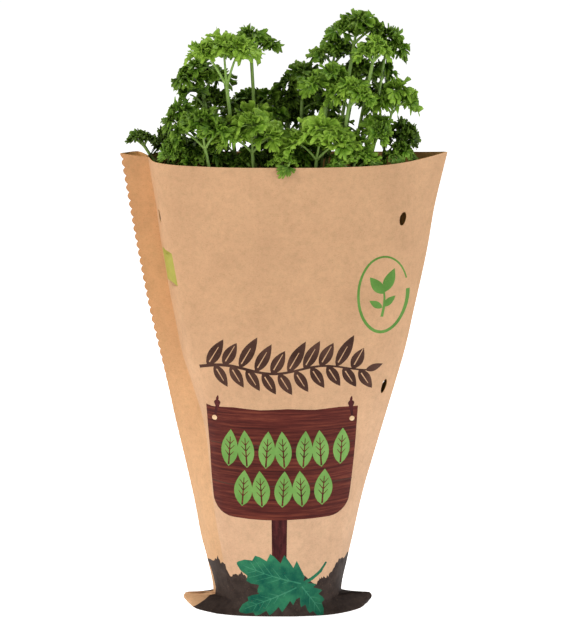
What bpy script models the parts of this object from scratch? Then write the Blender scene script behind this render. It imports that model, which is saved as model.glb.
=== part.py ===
"""Potted parsley: a tuft of curly-leaf parsley fronds growing in a hidden round nursery pot,
all standing in a tapered kraft paper sleeve with a glued left seam and a folded right edge.

Frame: origin on the floor under the pot's axis, +Z up, the printed front faces -Y.
Lengths below are millimetres and are turned into metres when a mesh is made.
"""

import math

import bpy
import bmesh
import numpy as np

MM = 0.001

# ------------------------------------------------------------------ driving dimensions
PAPER = 0.6                 # wall of the sleeve solid, it stands for 0.12 mm paper
SLEEVE_FLOOR = 0.8
MOUTH_MID_Z = 301.0         # front and back middle of the mouth
MOUTH_RISE = 4.8            # how much higher the two side corners of the mouth are
TOP_LEVEL = 306.0
VENT_W, VENT_H = 6.4, 9.5   # punched oval vents

POT_FOOT_R, POT_RIM_R, POT_H = 36.0, 48.4, 84.0
POT_WALL, POT_FLOOR = 1.0, 1.2
POT_Z = SLEEVE_FLOOR + 0.3
SOIL_TOP = 78.0

STEM_R0, STEM_R1, BRANCH_R = 1.35, 1.15, 0.95
STEM_SEGMENTS, STEM_SIDES = 6, 5
LEAF_SIDES = 8

# ------------------------------------------------------------------ sleeve sections
# height, then x/y of the front half's control points, from the left seam to the right fold:
# seam, mid fin, valley, limb, left front, middle, right front, right crease, right flank, fold
FRONT = [
    (0.0, (-61.0, 0), (-55.0, -19.0), (-41.0, -33.5), (-29.0, -38.6), (-15.0, -41.0), (0, -41.6),
     (15.0, -41.0), (36.0, -35.6), (53.5, -19.0), (60.0, 0)),
    (4.4, (-64.3, 0), (-50.5, -11.0), (-35.5, -28.5), (-27.0, -34.2), (-15.0, -39.6), (0, -41.6),
     (15.0, -39.6), (33.5, -28.5), (48.5, -11.0), (63.0, 0)),
    (7.2, (-62.5, 0), (-44.6, -2.2), (-32.6, -27.0), (-26.2, -32.9), (-14.2, -38.9), (0, -41.6),
     (15.0, -38.7), (33.0, -25.5), (42.8, -2.2), (61.0, 0)),
    (7.9, (-44.0, 0), (-39.6, -14.0), (-32.4, -26.8), (-26.2, -32.8), (-14.2, -38.8), (0, -41.6),
     (15.0, -38.6), (33.0, -25.3), (39.0, -13.5), (42.2, 0)),
    (30.0, (-47.9, 0), (-43.2, -15.0), (-36.0, -27.4), (-29.8, -33.8), (-16.0, -41.9), (0, -44.6),
     (17.0, -41.7), (36.5, -26.8), (42.8, -14.0), (46.2, 0)),
    (46.0, (-52.0, 0), (-46.6, -15.0), (-38.9, -27.6), (-32.6, -34.4), (-17.2, -43.9), (0, -46.8),
     (18.6, -43.4), (38.9, -27.6), (45.4, -14.5), (49.8, 0)),
    (70.0, (-56.4, 0), (-50.4, -14.6), (-42.8, -27.0), (-36.2, -35.7), (-19.2, -47.1), (0, -50.4),
     (20.2, -46.9), (41.8, -28.8), (49.4, -15.5), (55.0, 0)),
    (85.0, (-59.6, 0), (-52.6, -14.0), (-44.6, -26.2), (-37.6, -35.9), (-19.8, -47.7), (0, -51.0),
     (21.2, -47.3), (43.2, -28.8), (51.6, -15.8), (58.8, 0)),
    (97.0, (-62.3, 0), (-54.2, -13.2), (-45.4, -25.6), (-38.6, -35.4), (-20.2, -47.4), (0, -51.0),
     (22.2, -47.1), (45.2, -28.6), (54.4, -15.8), (62.3, 0)),
    (128.0, (-69.5, 0), (-59.8, -11.0), (-49.6, -21.8), (-43.2, -32.6), (-23.2, -45.6), (0, -50.0),
     (27.0, -45.1), (53.0, -29.0), (62.6, -16.0), (71.3, 0)),
    (150.0, (-74.2, 0), (-65.6, -7.4), (-56.8, -14.6), (-50.0, -31.0), (-27.2, -44.6), (0, -49.0),
     (31.2, -44.2), (58.6, -30.0), (69.4, -15.8), (77.8, 0)),
    (175.0, (-80.2, 0), (-72.4, -4.6), (-64.6, -8.8), (-57.0, -30.4), (-31.2, -43.6), (0, -48.0),
     (36.0, -43.6), (62.6, -32.0), (75.0, -16.8), (84.8, 0)),
    (197.0, (-85.5, 0), (-77.4, -3.4), (-69.2, -6.4), (-61.6, -30.0), (-35.0, -43.0), (0, -47.3),
     (39.2, -43.1), (65.6, -33.2), (79.0, -17.4), (89.6, 0)),
    (244.0, (-94.6, 0), (-86.0, -2.4), (-77.3, -4.2), (-70.0, -29.8), (-40.2, -42.5), (0, -46.0),
     (43.2, -42.6), (71.2, -34.2), (86.8, -18.4), (99.4, 0)),
    (267.0, (-98.5, 0), (-89.6, -2.0), (-80.6, -3.7), (-73.5, -29.5), (-42.2, -42.0), (0, -45.5),
     (45.0, -42.2), (73.8, -33.4), (89.8, -18.2), (103.0, 0)),
    (306.0, (-105.0, 0), (-95.8, -1.8), (-86.6, -3.2), (-79.0, -29.0), (-45.2, -41.2), (0, -45.0),
     (47.2, -41.6), (78.2, -32.2), (97.0, -16.4), (112.0, 0)),
]
SPANS = (2, 2, 3, 3, 2, 2, 3, 2, 2)     # mesh steps between neighbouring control points
CURL_Z, CURL_DEPTH = 262.0, 20.0        # the back sheet of the fin curls open above this height
RING_Z = (0.0, 4.4, 7.2, 7.9, 30.0, 48.0, 70.0, 85.0, 104.0, 128.0, 150.0, 175.0, 205.0, 240.0,
          275.0, TOP_LEVEL)


def smooth_rows(levels, columns, z):
    """Shape-preserving cubic through the rows of a table, column by column."""
    levels = np.asarray(levels, float)
    columns = np.asarray(columns, float)
    z = min(max(z, levels[0]), levels[-1])
    step = np.diff(levels)
    rise = np.diff(columns, axis=0) / step[:, None]
    slope = np.zeros_like(columns)
    slope[0], slope[-1] = rise[0], rise[-1]
    for i in range(1, len(levels) - 1):
        same = rise[i - 1] * rise[i] > 0
        w1 = 2 * step[i] + step[i - 1]
        w2 = step[i] + 2 * step[i - 1]
        with np.errstate(divide="ignore", invalid="ignore"):
            mean = (w1 + w2) / (w1 / rise[i - 1] + w2 / rise[i])
        slope[i] = np.where(same, mean, 0.0)
    i = int(min(max(np.searchsorted(levels, z, side="right") - 1, 0), len(levels) - 2))
    t = (z - levels[i]) / step[i]
    a, b, c, d = 2 * t**3 - 3 * t**2 + 1, t**3 - 2 * t**2 + t, 3 * t**2 - 2 * t**3, t**3 - t**2
    return a * columns[i] + b * step[i] * slope[i] + c * columns[i + 1] + d * step[i] * slope[i + 1]


FRONT_LEVELS = [row[0] for row in FRONT]
FRONT_POINTS = [[value for point in row[1:] for value in point] for row in FRONT]


def controls(z, back):
    """Control points of one half of the section at height z, as an array of x, y."""
    points = smooth_rows(FRONT_LEVELS, FRONT_POINTS, z).reshape(-1, 2)
    if not back:
        return points
    points = points * (1, -1)
    slack = min(max((z - 130) / 60, 0), 1)
    points[3:8, 1] *= 1 - 0.05 * slack
    curl = min(max((z - CURL_Z) / (TOP_LEVEL - CURL_Z), 0), 1) ** 1.4
    points[1] += (2.2 * curl, CURL_DEPTH * curl)
    points[2] += (0.0, 3.5 * curl)
    return points


def catmull(points, i, t):
    """Centripetal Catmull-Rom between points i and i + 1."""
    p1, p2 = points[i], points[i + 1]
    p0 = points[i - 1] if i else 2 * p1 - p2
    p3 = points[i + 2] if i + 2 < len(points) else 2 * p2 - p1
    t0 = 0.0
    t1 = t0 + max(np.linalg.norm(p1 - p0), 1e-6) ** 0.5
    t2 = t1 + max(np.linalg.norm(p2 - p1), 1e-6) ** 0.5
    t3 = t2 + max(np.linalg.norm(p3 - p2), 1e-6) ** 0.5
    s = t1 + (t2 - t1) * t
    a1 = (t1 - s) / (t1 - t0) * p0 + (s - t0) / (t1 - t0) * p1
    a2 = (t2 - s) / (t2 - t1) * p1 + (s - t1) / (t2 - t1) * p2
    a3 = (t3 - s) / (t3 - t2) * p2 + (s - t2) / (t3 - t2) * p3
    b1 = (t2 - s) / (t2 - t0) * a1 + (s - t0) / (t2 - t0) * a2
    b2 = (t3 - s) / (t3 - t1) * a2 + (s - t1) / (t3 - t1) * a3
    return (t2 - s) / (t2 - t1) * b1 + (s - t1) / (t2 - t1) * b2


def half_section(z, back, spans=SPANS):
    """Points of one half from the seam to the fold; the valley keeps a crease."""
    points = controls(z, back)
    fin, face = points[:3], points[2:]
    out = []
    for i, count in enumerate(spans):
        curve, k = (fin, i) if i < 2 else (face, i - 2)
        out += [catmull(curve, k, j / count) for j in range(count)]
    out.append(points[-1])
    return out


def ring(z):
    """The whole outline at height z, anticlockwise seen from above, starting at the seam."""
    front = half_section(z, False)
    back = half_section(z, True)
    return np.array(front + back[-2:0:-1])


def inset(outline, distance):
    """The outline moved inwards by distance, with mitred corners."""
    before, after = np.roll(outline, 1, axis=0), np.roll(outline, -1, axis=0)
    d1, d2 = outline - before, after - outline
    d1 /= np.linalg.norm(d1, axis=1)[:, None]
    d2 /= np.linalg.norm(d2, axis=1)[:, None]
    n1 = np.stack([-d1[:, 1], d1[:, 0]], axis=1)
    n2 = np.stack([-d2[:, 1], d2[:, 0]], axis=1)
    both = n1 + n2
    both /= np.linalg.norm(both, axis=1)[:, None]
    return outline + both * (distance / np.maximum((both * n1).sum(axis=1), 0.12))[:, None]


def ring_height(z, x):
    """Rings lean into the mouth's edge, whose corners stand higher than its middle."""
    mouth = MOUTH_MID_Z + MOUTH_RISE * min(abs(x) / 110.0, 1.0) ** 4
    lean = min(max((z - 240) / (TOP_LEVEL - 240), 0), 1)
    return z + (mouth - TOP_LEVEL) * lean


# ------------------------------------------------------------------ making meshes and objects
def material(name, colour, roughness, metallic=0.0):
    made = bpy.data.materials.new(name)
    made.use_nodes = True
    shader = made.node_tree.nodes["Principled BSDF"]
    shader.inputs["Base Color"].default_value = (*colour, 1)
    shader.inputs["Roughness"].default_value = roughness
    shader.inputs["Metallic"].default_value = metallic
    made.diffuse_color = (*colour, 1)
    return made


def object_from(name, points, faces, finish, smooth=True):
    mesh = bpy.data.meshes.new(name)
    mesh.from_pydata([tuple(c * MM for c in p) for p in points], [], faces)
    made = bmesh.new()
    made.from_mesh(mesh)
    bmesh.ops.recalc_face_normals(made, faces=made.faces)
    made.to_mesh(mesh)
    made.free()
    if smooth:
        mesh.shade_smooth()
        mesh.set_sharp_from_angle(angle=math.radians(40))
    obj = bpy.data.objects.new(name, mesh)
    bpy.context.scene.collection.objects.link(obj)
    if finish:
        mesh.materials.append(finish)
    return obj


def quads_between(first, second, count):
    return [(first + i, first + (i + 1) % count, second + (i + 1) % count, second + i) for i in range(count)]


def make_sleeve(finish):
    points, faces, starts = [], [], []
    for z in RING_Z:
        starts.append(len(points))
        points += [(x, y, ring_height(z, x)) for x, y in ring(z)]
    count = len(points) // len(RING_Z)
    inner = [z for z in RING_Z if z > 7.5][::-1]
    for z in inner:
        starts.append(len(points))
        outline = ring(z)
        points += [(x, y, ring_height(z, ox)) for (x, y), (ox, _) in zip(inset(outline, PAPER), outline)]
    starts.append(len(points))
    points += [(0.985 * x, 0.985 * y, SLEEVE_FLOOR) for x, y in inset(ring(7.9), PAPER)]
    for a, b in zip(starts, starts[1:]):
        faces += quads_between(a, b, count)
    faces.append(tuple(range(count))[::-1])
    faces.append(tuple(starts[-1] + i for i in range(count)))
    return object_from("paper_sleeve", points, faces, finish)


def vent(name, target, x, z, back):
    """An oval cutter through one wall, square to the paper there."""
    outline = np.array(half_section(z, back, (12,) * 9))
    near = outline[len(outline) // 2:] if x > 0 else outline[24:len(outline) // 2]
    k = int(np.argmin(np.abs(near[:, 0] - x)))
    k = min(max(k, 1), len(near) - 2)
    along = near[k + 1] - near[k - 1]
    along /= np.linalg.norm(along)
    normal = np.array([along[1], -along[0]])
    centre = near[k]
    bm = bmesh.new()
    sides = 14
    rings = []
    for reach in (-3.0, 3.0):
        rings.append([
            bm.verts.new((
                (centre[0] + normal[0] * reach + along[0] * VENT_W / 2 * math.cos(a)) * MM,
                (centre[1] + normal[1] * reach + along[1] * VENT_W / 2 * math.cos(a)) * MM,
                (z + VENT_H / 2 * math.sin(a)) * MM,
            ))
            for a in (2 * math.pi * i / sides for i in range(sides))
        ])
    for i in range(sides):
        bm.faces.new((rings[0][i], rings[0][(i + 1) % sides], rings[1][(i + 1) % sides], rings[1][i]))
    bm.faces.new(rings[0][::-1])
    bm.faces.new(rings[1])
    bmesh.ops.recalc_face_normals(bm, faces=bm.faces)
    mesh = bpy.data.meshes.new(name)
    bm.to_mesh(mesh)
    bm.free()
    cutter = bpy.data.objects.new(name, mesh)
    bpy.context.scene.collection.objects.link(cutter)
    cutter.hide_render = True
    cutter.display_type = "WIRE"
    cut = target.modifiers.new(name, "BOOLEAN")
    cut.operation = "DIFFERENCE"
    cut.object = cutter


def turned(name, profile, steps, finish):
    """A closed profile of r, z points turned about the Z axis; points on the axis close it."""
    points, faces, starts = [], [], []
    for r, z in profile:
        starts.append((len(points), r))
        points += [(0.0, 0.0, z)] if r == 0 else [
            (r * math.cos(2 * math.pi * i / steps), r * math.sin(2 * math.pi * i / steps), z) for i in range(steps)
        ]
    pairs = list(zip(starts, starts[1:] + starts[:1]))
    for (a, ra), (b, rb) in pairs:
        if ra == 0 and rb == 0:
            continue
        for i in range(steps):
            j = (i + 1) % steps
            if ra == 0:
                faces.append((a, b + j, b + i))
            elif rb == 0:
                faces.append((a + i, a + j, b))
            else:
                faces.append((a + i, a + j, b + j, b + i))
    return object_from(name, points, faces, finish)


def pot_radius(z):
    """Outside of the pot's wall at a height above its own underside."""
    return POT_FOOT_R + (POT_RIM_R - 2.2 - POT_FOOT_R) * z / POT_H


def make_pot(finish):
    z0 = POT_Z
    lip, band = POT_RIM_R, pot_radius(POT_H)
    profile = [
        (POT_FOOT_R - 4, z0 + 0.8), (POT_FOOT_R - 2.5, z0), (POT_FOOT_R - 0.6, z0),
        (POT_FOOT_R, z0 + 1.0), (pot_radius(POT_H - 9), z0 + POT_H - 9),
        (lip - 0.9, z0 + POT_H - 8), (lip - 0.5, z0 + POT_H - 1.2), (lip, z0 + POT_H),
        (band - POT_WALL - 0.2, z0 + POT_H), (pot_radius(POT_H - 9) - POT_WALL, z0 + POT_H - 9),
        (POT_FOOT_R - POT_WALL, z0 + 0.8 + POT_FLOOR), (0, z0 + 0.8 + POT_FLOOR), (0, z0 + 0.8),
    ]
    pot = turned("nursery_pot", profile, 40, finish)
    for k in range(4):
        a = math.radians(45 + 90 * k)
        bm = bmesh.new()
        bmesh.ops.create_cone(bm, cap_ends=True, segments=10, radius1=3.5 * MM, radius2=3.5 * MM, depth=8 * MM)
        mesh = bpy.data.meshes.new(f"drain_cutter_{k + 1}")
        bm.to_mesh(mesh)
        bm.free()
        cutter = bpy.data.objects.new(mesh.name, mesh)
        bpy.context.scene.collection.objects.link(cutter)
        cutter.location = (22 * math.cos(a) * MM, 22 * math.sin(a) * MM, (z0 + 1.4) * MM)
        cutter.hide_render = True
        cutter.display_type = "WIRE"
        cut = pot.modifiers.new(cutter.name, "BOOLEAN")
        cut.operation = "DIFFERENCE"
        cut.object = cutter
    return pot


def make_soil(finish):
    low = POT_Z + 0.8 + POT_FLOOR + 0.3
    gap = POT_WALL + 0.5
    profile = [
        (0, low), (pot_radius(low - POT_Z) - gap, low),
        (pot_radius(SOIL_TOP - 3 - POT_Z) - gap, SOIL_TOP - 3), (pot_radius(SOIL_TOP - POT_Z) - gap - 2, SOIL_TOP),
        (0, SOIL_TOP),
    ]
    return turned("potting_soil", profile, 32, finish)


# ------------------------------------------------------------------ the fronds
# Each row is one frond: x, y, z of the node where its stem divides, the width of its leaf mass,
# the turn of that mass about the vertical, and how long its branches are against the usual.
# The fronds that make the front and the outline come first, then the ones behind them.
FRONDS = [
    (-34, -5, 351, 40, 0, 2.0), (-18, 8, 367, 31, 20, 1.0), (50, 10, 377, 34, 10, 0.9),
    (62, 4, 367, 26, 40, 0.9), (73, -3, 369, 36, -10, 0.55), (36, 15, 362, 28, 0, 1.0),
    (50, 20, 346, 30, 50, 1.0), (16, 3, 343, 31, -20, 1.0), (32, -9, 345, 31, 30, 1.0),
    (6, 9, 327, 28, 60, 1.0), (46, -17, 338, 30, -30, 1.0), (78, -5, 333, 38, 15, 0.8),
    (66, 16, 330, 28, 60, 1.0), (-50, 5, 344, 35, 20, 1.0), (-42, 18, 328, 28, -40, 1.0),
    (-63, 0, 321, 31, 30, 1.0), (-48, -15, 312, 40, -10, 1.0), (-70, -8, 301, 27, 60, 1.0),
    (-86, 2, 309, 16, 0, 1.0), (-18, 12, 325, 29, 10, 1.0), (-17, -24, 309, 47, 5, 0.9),
    (-44, -26, 293, 32, -20, 1.0), (-26, 0, 293, 32, 40, 1.0), (80, 2, 306, 31, -40, 1.0),
    (82, -10, 291, 27, 20, 1.0), (25, -29, 305, 44, -5, 0.9), (13, -14, 292, 27, 70, 1.0),
    (8, -37, 300, 16, 0, 0.8), (69, 14, 299, 30, 30, 1.0), (34, 14, 308, 30, -60, 1.0),
    (48, -4, 292, 30, 20, 1.0), (-7, 4, 300, 30, -70, 1.0), (57, -14, 314, 30, 50, 1.0),
    (-31, 3, 320, 29, -20, 1.0), (-56, 10, 291, 30, 0, 1.0),
    (-68, 24, 300, 30, 30, 1.0), (-50, 32, 312, 32, -10, 1.0), (-28, 28, 330, 32, 20, 1.0),
    (-8, 32, 316, 32, -30, 1.0), (14, 28, 322, 32, 40, 1.0), (30, 34, 330, 30, 0, 1.0),
    (50, 34, 318, 32, -20, 1.0), (70, 30, 306, 30, 20, 1.0), (-34, 38, 296, 28, 0, 1.0),
    (2, 38, 296, 28, 0, 1.0), (38, 38, 296, 28, 0, 1.0), (84, 16, 290, 24, -60, 1.0),
]
GAP = 0.45
CELL = 1.5
FIELD_LOW = np.array((-125.0, -75.0, 60.0))
FIELD_SHAPE = np.array((168, 100, 244))
BASE_X, BASE_Y = 0.30, 0.55     # the stems' feet are the nodes' places drawn in towards the axis


class Clearance:
    """A grid over the sleeve's mouth that knows the distance to the nearest thing already placed."""

    def __init__(self):
        self.far = 9.0
        self.field = np.full(FIELD_SHAPE, self.far, np.float32)

    def add(self, centres, radii):
        for centre, radius in zip(centres, radii):
            reach = int(math.ceil((radius + self.far) / CELL))
            cell = np.round((centre - FIELD_LOW) / CELL).astype(int)
            low = np.maximum(cell - reach, 0)
            high = np.minimum(cell + reach + 1, FIELD_SHAPE)
            if (low >= high).any():
                continue
            axes = [FIELD_LOW[k] + CELL * np.arange(low[k], high[k]) - centre[k] for k in range(3)]
            squared = axes[0][:, None, None] ** 2 + axes[1][None, :, None] ** 2 + axes[2][None, None, :] ** 2
            window = self.field[low[0]:high[0], low[1]:high[1], low[2]:high[2]]
            np.minimum(window, np.sqrt(squared) - radius, out=window)

    def clear(self, centres, radii):
        cells = np.rint((centres - FIELD_LOW) / CELL).astype(int)
        np.clip(cells, 0, FIELD_SHAPE - 1, out=cells)
        return bool((self.field[cells[:, 0], cells[:, 1], cells[:, 2]] - 1.2 > radii + GAP).all())


def unit(v):
    return v / max(np.linalg.norm(v), 1e-9)


def stem_weights():
    """How far each point of a stem follows its node in x, y and z: it leaves the soil upright."""
    rows = []
    for i in range(STEM_SEGMENTS + 1):
        t = i / STEM_SEGMENTS
        s = t ** 1.35
        rows.append((BASE_X + (1 - BASE_X) * s, BASE_Y + (1 - BASE_Y) * s, t))
    return np.array(rows)


def frond_shape(x, y, z, width, turn, stretch, move=(0.0, 0.0, 0.0)):
    """The node, the stem and the leaf domes of one frond; move shifts the node and the rest follows."""
    foot = SOIL_TOP + 0.4
    node = np.array((x, y, z), float)
    weights = stem_weights()
    start = np.array((0.0, 0.0, foot))
    stem = start + weights * (node - start)
    forward = unit(stem[-1] - stem[-2])
    stem = stem + weights * np.array(move)
    node = node + move
    a = math.radians(turn)
    side = np.array((math.cos(a), math.sin(a), 0.0))
    across = np.array((-math.sin(a), math.cos(a), 0.0))
    branches = []
    for reach, rise, lean, share in ((-0.30, 0.30 * stretch, 0.06, 0.46), (0.30, 0.33 * stretch, -0.06, 0.46),
                                     (0.03, 0.50 * stretch ** 0.5, 0.0, 0.50)):
        tip = node + side * (reach * width) + across * (lean * width) + forward * (rise * width)
        outward = unit(unit(tip - node) * 0.55 + np.array((0, 0, 1.0)))
        branches.append((tip, outward, share * width))
    return node, stem, branches


def balls(shape):
    """Balls that fill the frond, for the clearance test, and how far each follows the node."""
    node, stem, branches = shape
    weights = stem_weights()
    centres, radii, follow = [], [], []
    for i in range(STEM_SEGMENTS):
        steps = int(np.linalg.norm(stem[i + 1] - stem[i]) / 2.5)
        for j in range(steps):
            centres.append(stem[i] + (stem[i + 1] - stem[i]) * j / steps)
            follow.append(weights[i] + (weights[i + 1] - weights[i]) * j / steps)
            radii.append(STEM_R0 + 0.1)
    for tip, outward, size in branches:
        found = [(node + (tip - node) * i / 8, BRANCH_R + 0.1) for i in range(1, 8)]
        u = unit(np.cross(outward, (0.3, 1.0, 0.2)))
        v = np.cross(outward, u)
        middle = tip + outward * (0.05 * size)
        found.append((middle + outward * (0.04 * size), 0.17 * size))
        for out, count, thick in ((0.24, 6, 0.105), (0.42, 12, 0.055)):
            for i in range(count):
                a = 2 * math.pi * i / count
                found.append((middle + (u * math.cos(a) + v * math.sin(a)) * (out * size), thick * size))
        centres += [c for c, _ in found]
        radii += [r for _, r in found]
        follow += [np.ones(3)] * len(found)
    return np.array(centres), np.array(radii), np.array(follow)


def place_fronds():
    """Each frond goes to the nearest free place around where it is wanted, sooner back or forth than aside."""
    room = Clearance()
    for z in np.arange(64.0, 306.5, 3.0):
        outline = np.array(half_section(z, False, (4,) * 9) + half_section(z, True, (4,) * 9))
        where = np.column_stack([outline, [ring_height(z, x) for x in outline[:, 0]]])
        for a, b in zip(where, where[1:]):
            steps = max(int(np.linalg.norm(b - a) / 3), 1)
            room.add(np.array([a + (b - a) * i / steps for i in range(steps)]), np.full(steps, 1.6))
    shifts = sorted(
        (abs(dx) + 1.2 * abs(dz) + 0.3 * abs(dy), dx, dy, dz)
        for dx in range(-15, 16, 3) for dz in (-12, -8, -4, -2, 0, 2, 4, 8) for dy in range(-32, 33, 4)
    )
    placed = []
    for x, y, z, width, turn, stretch in FRONDS:
        tries = []
        for scale in (1.0, 0.86, 0.72):
            for twist in (0, 30, -30, 60, -60, 90):
                tries.append((20 * (1 - scale) + abs(twist) / 15, scale, twist,
                              balls(frond_shape(x, y, z, width * scale, turn + twist, stretch))))
        best = None
        for more, scale, twist, (centres, radii, follow) in tries:
            for cost, dx, dy, dz in shifts:
                if abs(y + dy) > 42:
                    continue
                if best and cost + more >= best[0]:
                    break
                if room.clear(centres + follow * (dx, dy, dz), radii):
                    best = (cost + more, scale, twist, (dx, dy, dz))
                    break
        if best is None:
            print("no room for the frond at", x, y, z)
            continue
        _, scale, twist, move = best
        shape = frond_shape(x, y, z, width * scale, turn + twist, stretch, move)
        room.add(*balls(shape)[:2])
        placed.append(shape)
    return placed


def tube(points, radii, sides):
    """Vertices and faces of a closed tube along points."""
    verts, faces = [], []
    for i, p in enumerate(points):
        before = points[max(i - 1, 0)]
        after = points[min(i + 1, len(points) - 1)]
        d = unit(after - before)
        if i == 0:
            d = np.array((0, 0, 1.0)) if d[2] > 0.9 else d
        u = unit(np.cross(d, (0.31, 0.95, 0.02)))
        v = np.cross(d, u)
        verts += [p + (u * math.cos(2 * math.pi * j / sides) + v * math.sin(2 * math.pi * j / sides)) * radii[i]
                  for j in range(sides)]
    for i in range(len(points) - 1):
        faces += quads_between(i * sides, (i + 1) * sides, sides)
    faces.append(tuple(range(sides))[::-1])
    faces.append(tuple((len(points) - 1) * sides + j for j in range(sides)))
    return verts, faces


def dome(middle, outward, size):
    """A thin leaf dome: one ring, a high crown and a shallow underside."""
    u = unit(np.cross(outward, (0.3, 1.0, 0.2)))
    v = np.cross(outward, u)
    verts = [middle + (u * math.cos(2 * math.pi * i / LEAF_SIDES) + v * math.sin(2 * math.pi * i / LEAF_SIDES))
             * (size / 2 * (1.0 if i % 2 else 0.92)) for i in range(LEAF_SIDES)]
    verts += [middle + outward * (0.22 * size), middle - outward * (0.13 * size)]
    top, low = LEAF_SIDES, LEAF_SIDES + 1
    faces = []
    for i in range(LEAF_SIDES):
        j = (i + 1) % LEAF_SIDES
        faces += [(i, j, top), (j, i, low)]
    return verts, faces


def make_frond(name, shape, finish):
    node, stem, branches = shape
    stem = list(stem)
    radii = [STEM_R0 + (STEM_R1 - STEM_R0) * i / STEM_SEGMENTS for i in range(STEM_SEGMENTS + 1)]
    last = stem[-1] + unit(stem[-1] - stem[-2]) * 0.8
    whole = object_from(name, *tube(stem[:-1] + [last], radii, STEM_SIDES), finish)
    pieces = []
    for k, (tip, outward, size) in enumerate(branches):
        d = unit(tip - node)
        pieces.append(object_from(f"{name}_branch_{k}", *tube([node - d * 0.4, tip + d * 0.3], [BRANCH_R, BRANCH_R * 0.9], 4), None))
        pieces.append(object_from(f"{name}_leaf_{k}", *dome(tip + outward * (0.05 * size), outward, size), None))
    helpers = bpy.data.collections.new(name + "_pieces")
    for piece in pieces:
        bpy.context.scene.collection.objects.unlink(piece)
        helpers.objects.link(piece)
    join = whole.modifiers.new("join", "BOOLEAN")
    join.operation = "UNION"
    join.operand_type = "COLLECTION"
    join.collection = helpers
    join.solver = "EXACT"
    bpy.context.view_layer.update()
    graph = bpy.context.evaluated_depsgraph_get()
    mesh = bpy.data.meshes.new_from_object(whole.evaluated_get(graph))
    whole.modifiers.remove(join)
    old, whole.data = whole.data, mesh
    mesh.name = name
    bpy.data.meshes.remove(old)
    for piece in pieces:
        data = piece.data
        bpy.data.objects.remove(piece)
        bpy.data.meshes.remove(data)
    bpy.data.collections.remove(helpers)
    mesh.materials.clear()
    mesh.materials.append(finish)
    return whole


def main():
    for obj in list(bpy.data.objects):
        bpy.data.objects.remove(obj)
    bpy.context.scene.unit_settings.scale_length = 1.0

    kraft = material("kraft_paper", (0.66, 0.41, 0.23), 0.85)
    plastic = material("pot_plastic", (0.02, 0.02, 0.022), 0.5)
    earth = material("soil", (0.045, 0.028, 0.018), 0.95)
    leaf = material("parsley_leaf", (0.12, 0.27, 0.035), 0.5)

    sleeve = make_sleeve(kraft)
    for index, (x, z) in enumerate(((81.8, 265.0), (70.0, 151.0), (-78.9, 266.0))):
        vent(f"vent_front_{index}", sleeve, x, z, False)
        vent(f"vent_back_{index}", sleeve, x, z, True)
    make_pot(plastic)
    make_soil(earth)
    for index, shape in enumerate(place_fronds()):
        make_frond(f"parsley_frond_{index + 1:02d}", shape, leaf)


main()
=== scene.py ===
"""Potted parsley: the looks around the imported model.

A kraft paper sleeve with a pinked fin on the left, a rounded nursery pot with soil inside it,
and curly-leaf parsley fronds. Everything is in millimetres in the functions and becomes metres
when a mesh is made. +Z up, the printed front faces -Y.
"""

import math

import bpy
import numpy as np
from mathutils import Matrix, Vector, geometry, noise


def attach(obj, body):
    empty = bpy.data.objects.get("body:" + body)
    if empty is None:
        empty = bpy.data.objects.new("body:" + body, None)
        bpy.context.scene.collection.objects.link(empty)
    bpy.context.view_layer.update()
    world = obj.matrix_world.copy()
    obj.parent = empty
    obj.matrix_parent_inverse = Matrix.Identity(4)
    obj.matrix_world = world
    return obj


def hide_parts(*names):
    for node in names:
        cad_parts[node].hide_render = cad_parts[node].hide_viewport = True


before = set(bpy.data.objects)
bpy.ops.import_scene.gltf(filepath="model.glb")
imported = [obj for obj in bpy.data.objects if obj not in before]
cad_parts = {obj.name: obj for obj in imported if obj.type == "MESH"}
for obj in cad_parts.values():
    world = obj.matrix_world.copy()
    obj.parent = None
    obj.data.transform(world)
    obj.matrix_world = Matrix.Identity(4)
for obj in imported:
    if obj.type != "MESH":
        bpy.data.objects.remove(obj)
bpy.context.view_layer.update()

MM = 0.001
PAPER = 0.6
SLEEVE_FLOOR = 0.8
MOUTH_MID_Z = 301.0
MOUTH_RISE = 4.8
TOP_LEVEL = 306.0
POT_FOOT_R, POT_RIM_R, POT_H = 36.0, 48.4, 84.0
POT_WALL, POT_FLOOR = 1.0, 1.2
POT_Z = SLEEVE_FLOOR + 0.3
SOIL_TOP = 78.0
STEM_R0, STEM_R1, BRANCH_R = 1.35, 1.15, 0.95
STEM_SEGMENTS, STEM_SIDES = 6, 5

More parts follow.
